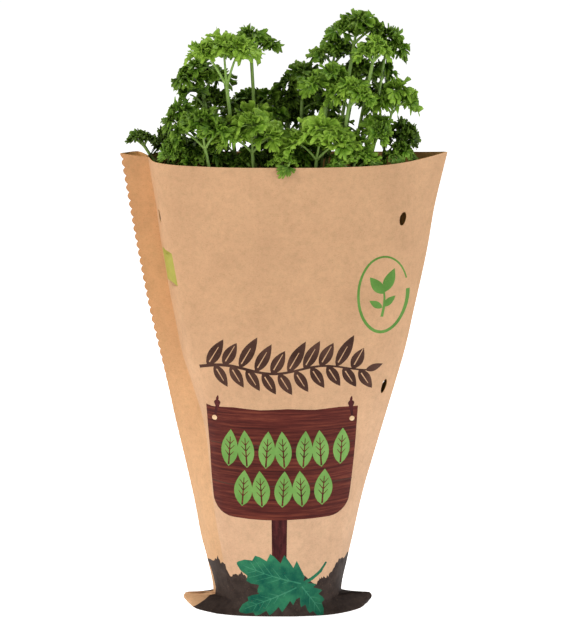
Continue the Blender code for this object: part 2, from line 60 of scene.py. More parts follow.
# ------------------------------------------------------------------ sleeve sections
# height, then x/y of the front half's control points, from the left seam to the right fold:
# seam, mid fin, valley, limb, left front, middle, right front, right crease, right flank, fold
FRONT = [
    (0.0, (-61.0, 0), (-55.0, -19.0), (-41.0, -33.5), (-29.0, -38.6), (-15.0, -41.0), (0, -41.6),
     (15.0, -41.0), (36.0, -35.6), (53.5, -19.0), (60.0, 0)),
    (4.4, (-64.3, 0), (-50.5, -11.0), (-35.5, -28.5), (-27.0, -34.2), (-15.0, -39.6), (0, -41.6),
     (15.0, -39.6), (33.5, -28.5), (48.5, -11.0), (63.0, 0)),
    (7.2, (-62.5, 0), (-44.6, -2.2), (-32.6, -27.0), (-26.2, -32.9), (-14.2, -38.9), (0, -41.6),
     (15.0, -38.7), (33.0, -25.5), (42.8, -2.2), (61.0, 0)),
    (7.9, (-44.0, 0), (-39.6, -14.0), (-32.4, -26.8), (-26.2, -32.8), (-14.2, -38.8), (0, -41.6),
     (15.0, -38.6), (33.0, -25.3), (39.0, -13.5), (42.2, 0)),
    (30.0, (-47.9, 0), (-43.2, -15.0), (-36.0, -27.4), (-29.8, -33.8), (-16.0, -41.9), (0, -44.6),
     (17.0, -41.7), (36.5, -26.8), (42.8, -14.0), (46.2, 0)),
    (46.0, (-52.0, 0), (-46.6, -15.0), (-38.9, -27.6), (-32.6, -34.4), (-17.2, -43.9), (0, -46.8),
     (18.6, -43.4), (38.9, -27.6), (45.4, -14.5), (49.8, 0)),
    (70.0, (-56.4, 0), (-50.4, -14.6), (-42.8, -27.0), (-36.2, -35.7), (-19.2, -47.1), (0, -50.4),
     (20.2, -46.9), (41.8, -28.8), (49.4, -15.5), (55.0, 0)),
    (85.0, (-59.6, 0), (-52.6, -14.0), (-44.6, -26.2), (-37.6, -35.9), (-19.8, -47.7), (0, -51.0),
     (21.2, -47.3), (43.2, -28.8), (51.6, -15.8), (58.8, 0)),
    (97.0, (-62.3, 0), (-54.2, -13.2), (-45.4, -25.6), (-38.6, -35.4), (-20.2, -47.4), (0, -51.0),
     (22.2, -47.1), (45.2, -28.6), (54.4, -15.8), (62.3, 0)),
    (128.0, (-69.5, 0), (-59.8, -11.0), (-49.6, -21.8), (-43.2, -32.6), (-23.2, -45.6), (0, -50.0),
     (27.0, -45.1), (53.0, -29.0), (62.6, -16.0), (71.3, 0)),
    (150.0, (-74.2, 0), (-65.6, -7.4), (-56.8, -14.6), (-50.0, -31.0), (-27.2, -44.6), (0, -49.0),
     (31.2, -44.2), (58.6, -30.0), (69.4, -15.8), (77.8, 0)),
    (175.0, (-80.2, 0), (-72.4, -4.6), (-64.6, -8.8), (-57.0, -30.4), (-31.2, -43.6), (0, -48.0),
     (36.0, -43.6), (62.6, -32.0), (75.0, -16.8), (84.8, 0)),
    (197.0, (-85.5, 0), (-77.4, -3.4), (-69.2, -6.4), (-61.6, -30.0), (-35.0, -43.0), (0, -47.3),
     (39.2, -43.1), (65.6, -33.2), (79.0, -17.4), (89.6, 0)),
    (244.0, (-94.6, 0), (-86.0, -2.4), (-77.3, -4.2), (-70.0, -29.8), (-40.2, -42.5), (0, -46.0),
     (43.2, -42.6), (71.2, -34.2), (86.8, -18.4), (99.4, 0)),
    (267.0, (-98.5, 0), (-89.6, -2.0), (-80.6, -3.7), (-73.5, -29.5), (-42.2, -42.0), (0, -45.5),
     (45.0, -42.2), (73.8, -33.4), (89.8, -18.2), (103.0, 0)),
    (306.0, (-105.0, 0), (-95.8, -1.8), (-86.6, -3.2), (-79.0, -29.0), (-45.2, -41.2), (0, -45.0),
     (47.2, -41.6), (78.2, -32.2), (97.0, -16.4), (112.0, 0)),
]
SPANS = (2, 2, 3, 3, 2, 2, 3, 2, 2)     # mesh steps between neighbouring control points
CURL_Z, CURL_DEPTH = 262.0, 20.0        # the back sheet of the fin curls open above this height
RING_Z = (0.0, 4.4, 7.2, 7.9, 30.0, 48.0, 70.0, 85.0, 104.0, 128.0, 150.0, 175.0, 205.0, 240.0,
          275.0, TOP_LEVEL)


def smooth_rows(levels, columns, z):
    """Shape-preserving cubic through the rows of a table, column by column."""
    levels = np.asarray(levels, float)
    columns = np.asarray(columns, float)
    z = min(max(z, levels[0]), levels[-1])
    step = np.diff(levels)
    rise = np.diff(columns, axis=0) / step[:, None]
    slope = np.zeros_like(columns)
    slope[0], slope[-1] = rise[0], rise[-1]
    for i in range(1, len(levels) - 1):
        same = rise[i - 1] * rise[i] > 0
        w1 = 2 * step[i] + step[i - 1]
        w2 = step[i] + 2 * step[i - 1]
        with np.errstate(divide="ignore", invalid="ignore"):
            mean = (w1 + w2) / (w1 / rise[i - 1] + w2 / rise[i])
        slope[i] = np.where(same, mean, 0.0)
    i = int(min(max(np.searchsorted(levels, z, side="right") - 1, 0), len(levels) - 2))
    t = (z - levels[i]) / step[i]
    a, b, c, d = 2 * t**3 - 3 * t**2 + 1, t**3 - 2 * t**2 + t, 3 * t**2 - 2 * t**3, t**3 - t**2
    return a * columns[i] + b * step[i] * slope[i] + c * columns[i + 1] + d * step[i] * slope[i + 1]


FRONT_LEVELS = [row[0] for row in FRONT]
FRONT_POINTS = [[value for point in row[1:] for value in point] for row in FRONT]


def controls(z, back):
    """Control points of one half of the section at height z, as an array of x, y."""
    points = smooth_rows(FRONT_LEVELS, FRONT_POINTS, z).reshape(-1, 2)
    if not back:
        return points
    points = points * (1, -1)
    slack = min(max((z - 130) / 60, 0), 1)
    points[3:8, 1] *= 1 - 0.05 * slack
    curl = min(max((z - CURL_Z) / (TOP_LEVEL - CURL_Z), 0), 1) ** 1.4
    points[1] += (2.2 * curl, CURL_DEPTH * curl)
    points[2] += (0.0, 3.5 * curl)
    return points


def catmull(points, i, t):
    """Centripetal Catmull-Rom between points i and i + 1."""
    p1, p2 = points[i], points[i + 1]
    p0 = points[i - 1] if i else 2 * p1 - p2
    p3 = points[i + 2] if i + 2 < len(points) else 2 * p2 - p1
    t0 = 0.0
    t1 = t0 + max(np.linalg.norm(p1 - p0), 1e-6) ** 0.5
    t2 = t1 + max(np.linalg.norm(p2 - p1), 1e-6) ** 0.5
    t3 = t2 + max(np.linalg.norm(p3 - p2), 1e-6) ** 0.5
    s = t1 + (t2 - t1) * t
    a1 = (t1 - s) / (t1 - t0) * p0 + (s - t0) / (t1 - t0) * p1
    a2 = (t2 - s) / (t2 - t1) * p1 + (s - t1) / (t2 - t1) * p2
    a3 = (t3 - s) / (t3 - t2) * p2 + (s - t2) / (t3 - t2) * p3
    b1 = (t2 - s) / (t2 - t0) * a1 + (s - t0) / (t2 - t0) * a2
    b2 = (t3 - s) / (t3 - t1) * a2 + (s - t1) / (t3 - t1) * a3
    return (t2 - s) / (t2 - t1) * b1 + (s - t1) / (t2 - t1) * b2


def half_section(z, back, spans=SPANS):
    """Points of one half from the seam to the fold; the valley keeps a crease."""
    points = controls(z, back)
    fin, face = points[:3], points[2:]
    out = []
    for i, count in enumerate(spans):
        curve, k = (fin, i) if i < 2 else (face, i - 2)
        out += [catmull(curve, k, j / count) for j in range(count)]
    out.append(points[-1])
    return out


def ring(z):
    """The whole outline at height z, anticlockwise seen from above, starting at the seam."""
    front = half_section(z, False)
    back = half_section(z, True)
    return np.array(front + back[-2:0:-1])


def inset(outline, distance):
    """The outline moved inwards by distance, with mitred corners."""
    before, after = np.roll(outline, 1, axis=0), np.roll(outline, -1, axis=0)
    d1, d2 = outline - before, after - outline
    d1 /= np.linalg.norm(d1, axis=1)[:, None]
    d2 /= np.linalg.norm(d2, axis=1)[:, None]
    n1 = np.stack([-d1[:, 1], d1[:, 0]], axis=1)
    n2 = np.stack([-d2[:, 1], d2[:, 0]], axis=1)
    both = n1 + n2
    both /= np.linalg.norm(both, axis=1)[:, None]
    return outline + both * (distance / np.maximum((both * n1).sum(axis=1), 0.12))[:, None]


def ring_height(z, x):
    """Rings lean into the mouth's edge, whose corners stand higher than its middle."""
    mouth = MOUTH_MID_Z + MOUTH_RISE * min(abs(x) / 110.0, 1.0) ** 4
    lean = min(max((z - 240) / (TOP_LEVEL - 240), 0), 1)
    return z + (mouth - TOP_LEVEL) * lean


# ------------------------------------------------------------------ materials
def linear(r, g, b):
    """A colour given as 0 to 255 display values, made linear."""
    out = []
    for c in (r, g, b):
        c /= 255.0
        out.append(c / 12.92 if c <= 0.04045 else ((c + 0.055) / 1.055) ** 2.4)
    return (*out, 1.0)


class Nodes:
    """A small helper to write node trees in a few lines."""

    def __init__(self, name, roughness=0.6, specular=0.5):
        self.material = bpy.data.materials.new(name)
        self.material.use_nodes = True
        self.tree = self.material.node_tree
        self.shader = self.tree.nodes["Principled BSDF"]
        self.shader.inputs["Roughness"].default_value = roughness
        self.shader.inputs["Specular IOR Level"].default_value = specular

    def add(self, kind, **settings):
        node = self.tree.nodes.new(kind)
        for key, value in settings.items():
            if key in node.inputs:
                node.inputs[key].default_value = value
            else:
                setattr(node, key, value)
        return node

    def link(self, a, b):
        self.tree.links.new(a, b)

    def coords(self, scale=(1, 1, 1), rotation=(0, 0, 0)):
        place = self.add("ShaderNodeTexCoord")
        mapping = self.add("ShaderNodeMapping")
        mapping.inputs["Scale"].default_value = scale
        mapping.inputs["Rotation"].default_value = rotation
        self.link(place.outputs["Object"], mapping.inputs["Vector"])
        return mapping.outputs["Vector"]

    def noise(self, vector, scale, detail=3.0, roughness=0.55):
        node = self.add("ShaderNodeTexNoise")
        node.inputs["Scale"].default_value = scale
        node.inputs["Detail"].default_value = detail
        node.inputs["Roughness"].default_value = roughness
        self.link(vector, node.inputs["Vector"])
        return node.outputs["Fac"]

    def ramp(self, fac, stops):
        node = self.add("ShaderNodeValToRGB")
        while len(node.color_ramp.elements) < len(stops):
            node.color_ramp.elements.new(0.5)
        for element, (place, colour) in zip(node.color_ramp.elements, stops):
            element.position = place
            element.color = colour
        self.link(fac, node.inputs["Fac"])
        return node.outputs["Color"]

    def mix(self, fac, a, b, blend="MIX"):
        node = self.add("ShaderNodeMix", data_type="RGBA", blend_type=blend)
        sockets = [s for s in node.inputs if s.enabled]
        for value, socket in zip((fac, a, b), sockets):
            if isinstance(value, bpy.types.NodeSocket):
                self.link(value, socket)
            else:
                socket.default_value = value
        return [s for s in node.outputs if s.enabled][0]

    def maths(self, operation, a, b=0.0):
        node = self.add("ShaderNodeMath", operation=operation)
        for value, socket in zip((a, b), node.inputs):
            if isinstance(value, bpy.types.NodeSocket):
                self.link(value, socket)
            else:
                socket.default_value = value
        return node.outputs[0]

    def bump(self, height, strength, distance):
        node = self.add("ShaderNodeBump")
        node.inputs["Strength"].default_value = strength
        node.inputs["Distance"].default_value = distance
        self.link(height, node.inputs["Height"])
        self.link(node.outputs["Normal"], self.shader.inputs["Normal"])

    def colour(self, socket):
        self.link(socket, self.shader.inputs["Base Color"])

    def rough(self, socket):
        self.link(socket, self.shader.inputs["Roughness"])


def shade(colour, factor):
    return (*(min(c * factor, 1.0) for c in colour[:3]), 1.0)


def height_mix(m, low, high, z0, z1):
    """From low at the height z0 to high at z1, in metres."""
    place = m.add("ShaderNodeTexCoord")
    parts = m.add("ShaderNodeSeparateXYZ")
    m.link(place.outputs["Object"], parts.inputs["Vector"])
    height = m.add("ShaderNodeMapRange")
    m.link(parts.outputs["Z"], height.inputs["Value"])
    height.inputs["From Min"].default_value = z0
    height.inputs["From Max"].default_value = z1
    return m.mix(height.outputs["Result"], low, high)


def paper_surface(m, base, foot=None):
    """Kraft fibre: soft clouds, warm and cool mottling, short fibres, fine flecks; paler at the foot, a painted sheen.
    """
    cloud = m.noise(m.coords(), 34.0, 4.0, 0.6)
    mottle = m.noise(m.coords(), 260.0, 5.0, 0.72)
    fibre = m.noise(m.coords((700, 700, 1300)), 1.0, 4.0, 0.65)
    fleck = m.noise(m.coords(), 1500.0, 2.0, 0.5)
    # the paler foot colour low down is a painted sheen, blended into the base colour higher up
    ground = height_mix(m, foot, base, 0.06, 0.21) if foot else base
    soft = m.ramp(cloud, [(0.30, (0.91, 0.90, 0.89, 1)), (0.72, (1.07, 1.07, 1.07, 1))])
    spots = m.ramp(mottle, [(0.30, (0.86, 0.88, 0.84, 1)), (0.50, (1.0, 0.985, 0.97, 1)), (0.72, (1.10, 1.07, 1.07, 1))])
    threads = m.ramp(fibre, [(0.30, (0.82, 0.79, 0.74, 1)), (0.52, (1, 1, 1, 1))])
    third = m.ramp(fleck, [(0.28, (0.72, 0.64, 0.55, 1)), (0.40, (1, 1, 1, 1))])
    a = m.mix(1.0, ground, soft, "MULTIPLY")
    a = m.mix(0.85, a, spots, "MULTIPLY")
    a = m.mix(0.45, a, threads, "MULTIPLY")
    b = m.mix(0.5, a, third, "MULTIPLY")
    m.bump(m.maths("ADD", fibre, m.maths("MULTIPLY", mottle, 0.7)), 0.30, 0.0002)
    return b


def paper_material(name, base, roughness=0.78, foot=None):
    m = Nodes(name, roughness, 0.22)
    m.colour(paper_surface(m, base, foot))
    return m.material


def ink_material(name, dark, light, roughness=0.7, scale=60.0, stretch=(1, 1, 1), show=0.10, cut=(0.35, 0.68)):
    """Ink printed on the paper: it lets some of the fibre show and varies over the area."""
    m = Nodes(name, roughness, 0.10)
    base = m.ramp(m.noise(m.coords(stretch), scale, 5.0, 0.62), [(cut[0], dark), (cut[1], light)])
    fibre = m.noise(m.coords((700, 700, 1300)), 1.0, 4.0, 0.65)
    worn = m.ramp(fibre, [(0.60, (0, 0, 0, 1)), (0.80, (1, 1, 1, 1))])
    m.colour(m.mix(m.maths("MULTIPLY", worn, show * 3), base, linear(190, 150, 112)))
    m.bump(fibre, 0.25, 0.0002)
    return m.material


def wood_material(name):
    """The printed board: brown planks with long grain lines lying across."""
    m = Nodes(name, 0.7, 0.10)
    grain = m.noise(m.coords((26, 26, 620)), 1.0, 6.0, 0.7)
    wide = m.noise(m.coords((9, 9, 90)), 1.0, 3.0, 0.5)
    dark, mid, light = linear(44, 16, 16), linear(86, 36, 30), linear(126, 66, 48)
    colour = m.ramp(grain, [(0.30, dark), (0.50, mid), (0.74, light)])
    tone = m.ramp(wide, [(0.3, (0.78, 0.74, 0.74, 1)), (0.7, (1.08, 1.04, 1.02, 1))])
    m.colour(m.mix(0.75, colour, tone, "MULTIPLY"))
    m.bump(grain, 0.2, 0.0002)
    return m.material


def leaf_material(name, deep, bright, tip):
    """Leaf: darker in its heart and brighter to the teeth, a painted shade and highlight; paler veins, and every
    leaflet a bit different.
    """
    m = Nodes(name, 0.52, 0.16)
    data = m.add("ShaderNodeAttribute", attribute_name="leaf")
    parts = m.add("ShaderNodeSeparateColor")
    m.link(data.outputs["Color"], parts.inputs["Color"])
    # blue is the tone: the frond's painted light and shade by its place, with random spread
    reach, vein, own = parts.outputs["Red"], parts.outputs["Green"], parts.outputs["Blue"]
    cloud = m.noise(m.coords(), 420.0, 3.0, 0.6)
    base = m.ramp(m.maths("ADD", m.maths("MULTIPLY", own, 0.65), m.maths("MULTIPLY", cloud, 0.45)),
                  [(0.22, deep), (0.62, bright), (1.0, tip)])
    # painted highlight: the colour grows brighter out towards the teeth
    lit = m.mix(m.maths("MULTIPLY", m.maths("POWER", reach, 2.0), 0.50), base, tip)
    veins = m.ramp(vein, [(0.0, (1, 1, 1, 1)), (0.30, (0, 0, 0, 1))])
    # painted shade: leaves low down and away from the front are darkened to a deeper green
    place = m.add("ShaderNodeTexCoord")
    axes = m.add("ShaderNodeSeparateXYZ")
    m.link(place.outputs["Object"], axes.inputs["Vector"])
    shares = []
    for axis, start, stop in (("Y", -0.036, -0.006), ("Z", 0.338, 0.302)):
        span = m.add("ShaderNodeMapRange")
        m.link(axes.outputs[axis], span.inputs["Value"])
        span.inputs["From Min"].default_value = start
        span.inputs["From Max"].default_value = stop
        shares.append(span.outputs["Result"])
    depth = m.maths("MULTIPLY", shares[0], shares[1])
    veined = m.mix(m.maths("MULTIPLY", veins, 0.30), lit, linear(136, 166, 60))
    m.colour(m.mix(m.maths("MULTIPLY", depth, 0.85), veined, (0.46, 0.52, 0.42, 1), "MULTIPLY"))
    fine = m.noise(m.coords(), 1500.0, 2.0, 0.5)
    m.bump(m.maths("ADD", fine, m.maths("MULTIPLY", vein, 0.8)), 0.35, 0.0003)
    m.rough(m.ramp(cloud, [(0.3, (0.36, 0.36, 0.36, 1)), (0.7, (0.52, 0.52, 0.52, 1))]))
    m.shader.inputs["Subsurface Weight"].default_value = 0.0
    return m.material


def stem_material(name):
    """Petiole: pale green with long ribs, a little darker near the soil."""
    m = Nodes(name, 0.5, 0.3)
    along = m.noise(m.coords((900, 900, 60)), 1.0, 3.0, 0.6)
    place = m.add("ShaderNodeTexCoord")
    parts = m.add("ShaderNodeSeparateXYZ")
    m.link(place.outputs["Object"], parts.inputs["Vector"])
    height = m.add("ShaderNodeMapRange")
    m.link(parts.outputs["Z"], height.inputs["Value"])
    height.inputs["From Min"].default_value = 0.08
    height.inputs["From Max"].default_value = 0.36
    low = m.ramp(along, [(0.3, linear(96, 116, 58)), (0.7, linear(128, 146, 78))])
    high = m.ramp(along, [(0.3, linear(112, 146, 58)), (0.7, linear(150, 178, 92))])
    m.colour(m.mix(height.outputs["Result"], low, high))
    m.bump(along, 0.3, 0.0002)
    return m.material


def soil_material(name):
    m = Nodes(name, 0.95, 0.25)
    coarse = m.noise(m.coords(), 240.0, 6.0, 0.7)
    fine = m.noise(m.coords(), 1100.0, 4.0, 0.6)
    m.colour(m.mix(0.5, m.ramp(coarse, [(0.3, linear(28, 20, 15)), (0.7, linear(78, 58, 42))]),
                   m.ramp(fine, [(0.35, linear(20, 14, 10)), (0.75, linear(92, 74, 56))])))
    m.bump(m.maths("ADD", coarse, fine), 0.8, 0.001)
    return m.material


def plastic_material(name):
    m = Nodes(name, 0.45, 0.5)
    cloud = m.noise(m.coords(), 30.0, 4.0, 0.6)
    fine = m.noise(m.coords(), 2200.0, 2.0, 0.5)
    m.colour(m.ramp(cloud, [(0.3, linear(24, 25, 27)), (0.75, linear(40, 41, 43))]))
    m.rough(m.ramp(cloud, [(0.3, (0.38, 0.38, 0.38, 1)), (0.8, (0.60, 0.60, 0.60, 1))]))
    m.bump(fine, 0.2, 0.0001)
    return m.material


# the foot colours paint a paler sheen low on the outside and on the fin
KRAFT = paper_material("kraft_outside", linear(188, 148, 112), foot=linear(200, 162, 130))
KRAFT_FIN = paper_material("kraft_fin", linear(192, 143, 98), foot=linear(200, 158, 118))
# the inside colour is paler than the paper's own: painted light, for light shining through the sheet into the bag
KRAFT_IN = paper_material("kraft_inside", linear(220, 170, 110))
SIGN = wood_material("print_board")
BROWN = ink_material("print_brown", linear(58, 36, 28), linear(80, 54, 44), show=0.05)
POST = ink_material("print_post", linear(46, 16, 18), linear(82, 34, 34), scale=1.0, stretch=(420, 420, 30), show=0.05)
EARTH = ink_material("print_earth", linear(46, 36, 32), linear(66, 54, 48), scale=170.0, show=0.07)
TEAL = ink_material("print_leaf", linear(8, 78, 62), linear(48, 120, 84), scale=90.0, show=0.05)
TEAL_PALE = ink_material("print_leaf_vein", linear(44, 116, 88), linear(72, 136, 104), scale=90.0, show=0.05)
LIME = ink_material("print_lime", linear(96, 140, 66), linear(120, 160, 84), scale=60.0, show=0.10)
GREEN = ink_material("print_green", linear(74, 116, 46), linear(98, 138, 66), scale=40.0, show=0.10)
LABEL = ink_material("print_label", linear(142, 140, 58), linear(164, 156, 74), scale=30.0, show=0.06)
ROPE = ink_material("print_rope", linear(196, 160, 120), linear(226, 194, 156), scale=300.0, show=0.02)
LEAF = leaf_material("parsley_leaf_green", linear(17, 44, 4), linear(64, 108, 10), linear(154, 188, 66))
STEM = stem_material("parsley_stem_green")
SOIL = soil_material("potting_soil_dark")
PLASTIC = plastic_material("pot_black_plastic")

# ------------------------------------------------------------------ the paper sheet's surface
SHEET = 0.3
U_STEPS = 16
MOUTH = 306.0
LEVELS = np.unique(np.round(np.concatenate([
    np.arange(0.0, MOUTH + 0.5, 1.0), (7.2, 7.35, 7.5, 7.65, 7.8, 7.9)]), 3))


def dense_half(z, back):
    points = controls(z, back)
    fin, face = points[:3], points[2:]
    t = (np.arange(U_STEPS) / U_STEPS)[:, None]
    rows = [catmull(fin if i < 2 else face, i if i < 2 else i - 2, t) for i in range(9)]
    return np.vstack(rows + [points[-1:]])


TABLES = {back: np.array([dense_half(z, back) for z in LEVELS]) for back in (False, True)}
REFERENCE = TABLES[False][int(np.searchsorted(LEVELS, 200.0))]
ARC = np.concatenate([[0.0], np.cumsum(np.linalg.norm(np.diff(REFERENCE, axis=0), axis=1))])
WIDTH = float(ARC[-1])
U_LINE = np.arange(len(ARC)) / U_STEPS


def to_u(s):
    return np.interp(s, ARC, U_LINE)


def to_s(u):
    return np.interp(u, U_LINE, ARC)


def section_xy(u, z, back):
    """x, y of the smooth surface for arrays of u (0 seam to 9 fold) and z."""
    table = TABLES[back]
    u = np.clip(np.asarray(u, float), 0, 9)
    z = np.clip(np.asarray(z, float), 0, MOUTH)
    i = np.clip(np.searchsorted(LEVELS, z, side="right") - 1, 0, len(LEVELS) - 2)
    tz = ((z - LEVELS[i]) / (LEVELS[i + 1] - LEVELS[i]))[:, None]
    k = np.clip((u * U_STEPS).astype(int), 0, table.shape[1] - 2)
    tu = (u * U_STEPS - k)[:, None]
    low = table[i, k] * (1 - tu) + table[i, k + 1] * tu
    high = table[i + 1, k] * (1 - tu) + table[i + 1, k + 1] * tu
    return low * (1 - tz) + high * tz


def leaning(z, x):
    mouth = MOUTH_MID_Z + MOUTH_RISE * np.minimum(np.abs(x) / 110.0, 1.0) ** 4
    lean = np.clip((z - 240.0) / (TOP_LEVEL - 240.0), 0, 1)
    return z + (mouth - TOP_LEVEL) * lean


def level_of(z, x):
    """The table level whose leaning height is z at x."""
    level = np.array(z, float)
    for _ in range(6):
        level = level + (z - leaning(level, x))
    return level


def to_sheet(points, back=False):
    """Places given as x, z on the front (or back) become s, level on the flat sheet."""
    points = np.asarray(points, float)
    level = np.clip(level_of(points[:, 1], points[:, 0]), 0, MOUTH)
    out = []
    for (x, _), z in zip(points, level):
        row = section_xy(U_LINE, np.full(len(U_LINE), z), back)[:, 0]
        u = np.interp(x, row, U_LINE)
        out.append((float(to_s(u)), float(z)))
    return np.array(out)


def noises(points, scale, seed):
    """Smooth noise, about -1 to 1, at places in millimetres."""
    return np.array([noise.noise(Vector((p[0] / scale + seed * 7.31, p[1] / scale - seed * 3.7, p[2] / scale))) for p in points])


def sheet_points(s, level, back):
    """Outer surface of the sheet, in millimetres, with the paper's soft dents and creases."""
    s, level = np.asarray(s, float), np.asarray(level, float)
    u = to_u(s)
    xy = section_xy(u, level, back)
    z = leaning(level, xy[:, 0])
    place = np.column_stack([xy, z])
    du, dz = 0.06, 0.6
    a = section_xy(np.clip(u + du, 0, 9), level, back) - section_xy(np.clip(u - du, 0, 9), level, back)
    up = section_xy(u, np.clip(level + dz, 0, MOUTH), back) - section_xy(u, np.clip(level - dz, 0, MOUTH), back)
    along = np.column_stack([a, np.zeros(len(a))])
    rise = np.column_stack([up, np.full(len(up), 2 * dz)])
    normal = np.cross(along, rise) * (-1 if back else 1)
    normal /= np.maximum(np.linalg.norm(normal, axis=1), 1e-9)[:, None]
    edge = np.clip(np.minimum(u / 1.0, (9 - u) / 0.6), 0, 1)
    low = np.clip((level - 9) / 14, 0, 1)
    seed = 5 if back else 1
    flat = np.column_stack([s, level, np.zeros(len(s))])
    tall = flat * (1.0, 0.42, 1.0)
    dent = 0.68 * noises(tall, 46.0, seed) + 0.34 * noises(flat, 19.0, seed + 1) + 0.10 * noises(flat, 7.0, seed + 2)
    foot = np.clip(1 - (level - 12) / 70.0, 0, 1)
    slant = flat[:, 0] * 0.55 + flat[:, 1] * 0.9
    fold = np.abs(((slant / 21.0 + 0.35 * noises(flat, 30.0, seed + 4)) % 1.0) - 0.5) * 2
    dent = dent - foot * 0.55 * np.exp(-(fold / 0.16) ** 2)
    if not back:
        # two soft creases from the mouth down the right front, one across the foot
        for s0, z0, s1, z1, depth, wide in CREASES:
            t = np.clip(((s - s0) * (s1 - s0) + (level - z0) * (z1 - z0)) / ((s1 - s0) ** 2 + (z1 - z0) ** 2), 0, 1)
            far = np.hypot(s - (s0 + (s1 - s0) * t), level - (z0 + (z1 - z0) * t))
            dent = dent - depth * np.exp(-(far / wide) ** 2) * np.sin(np.pi * np.clip(t, 0.0, 1.0)) ** 0.5
    dent = np.clip(dent, -1.2, 1.0) * edge * low
    push = dent
    seam = np.clip(1 - u / 0.35, 0, 1)
    place = place + normal * push[:, None]
    place[:, 1] += seam * (0.35 if back else -0.35)
    return place


CREASES = [
    (168.0, 300.0, 163.0, 236.0, 0.55, 2.6),
    (150.0, 120.0, 158.0, 62.0, 0.45, 3.2),
    (60.0, 60.0, 84.0, 30.0, 0.45, 3.0),
    (96.0, 298.0, 102.0, 262.0, 0.30, 4.0),
]


def pinked(level):
    """How far the fin's edge is cut back at a height: round teeth with sharp notches, worn out lower down."""
    full = np.clip((level - 150.0) / 32.0, 0, 1)
    depth = 0.22 + 1.45 * full
    phase = (level / 5.6) % 1.0
    return 0.05 + depth * (1 - np.sin(np.pi * phase) ** 0.8)


# ------------------------------------------------------------------ what is printed on the sheet
def outline_leaf(x, z, length, width, angle, steps=9, bend=0.0):
    """An almond leaf from its stalk's end at x, z."""
    a = math.radians(angle)
    side = []
    for i in range(steps + 1):
        t = i / steps
        side.append((t * length, width / 2 * math.sin(math.pi * t ** 0.85) ** 0.9, bend * math.sin(math.pi * t)))
    points = [(u, v + b) for u, v, b in side] + [(u, b - v) for u, v, b in side[-2:0:-1]]
    return [(x + u * math.cos(a) - v * math.sin(a), z + u * math.sin(a) + v * math.cos(a)) for u, v in points]


def stroke(points, widths):
    """A band of changing width along points."""
    points = np.asarray(points, float)
    widths = np.broadcast_to(np.asarray(widths, float), (len(points),))
    ahead = np.gradient(points, axis=0)
    ahead /= np.linalg.norm(ahead, axis=1)[:, None]
    across = np.column_stack([-ahead[:, 1], ahead[:, 0]]) * widths[:, None] / 2
    return [tuple(p) for p in points + across] + [tuple(p) for p in (points - across)[::-1]]


def toothed_leaf(x, z, size, angle, lobes=3, teeth=3, spread=100):
    """A flat-leaf herb leaf: lobes fanning from the stalk, each with pointed teeth."""
    a0 = math.radians(angle)
    points = [(x, z)]
    for k in range(lobes):
        middle = math.radians(-spread / 2 + spread * (k + 0.5) / lobes)
        half = math.radians(spread / lobes / 2)
        far = size * (1.0 if k == lobes // 2 else 0.86)
        for j in range(teeth):
            t0, t1 = j / teeth, (j + 1) / teeth
            tip = middle + half * (t0 + t1 - 1) * 0.95
            near = middle + half * (2 * t0 - 1)
            reach = far * (1.0 - 0.30 * abs(t0 + t1 - 1))
            points.append((near, reach * (0.40 if j == 0 else 0.74)))
            points.append((tip - half * 0.12, reach * 0.90))
            points.append((tip, reach))
    points.append((math.radians(spread / 2), size * 0.36))
    out = [(x, z)]
    for a, r in points[1:]:
        out.append((x + r * math.cos(a0 + a), z + r * math.sin(a0 + a)))
    return out


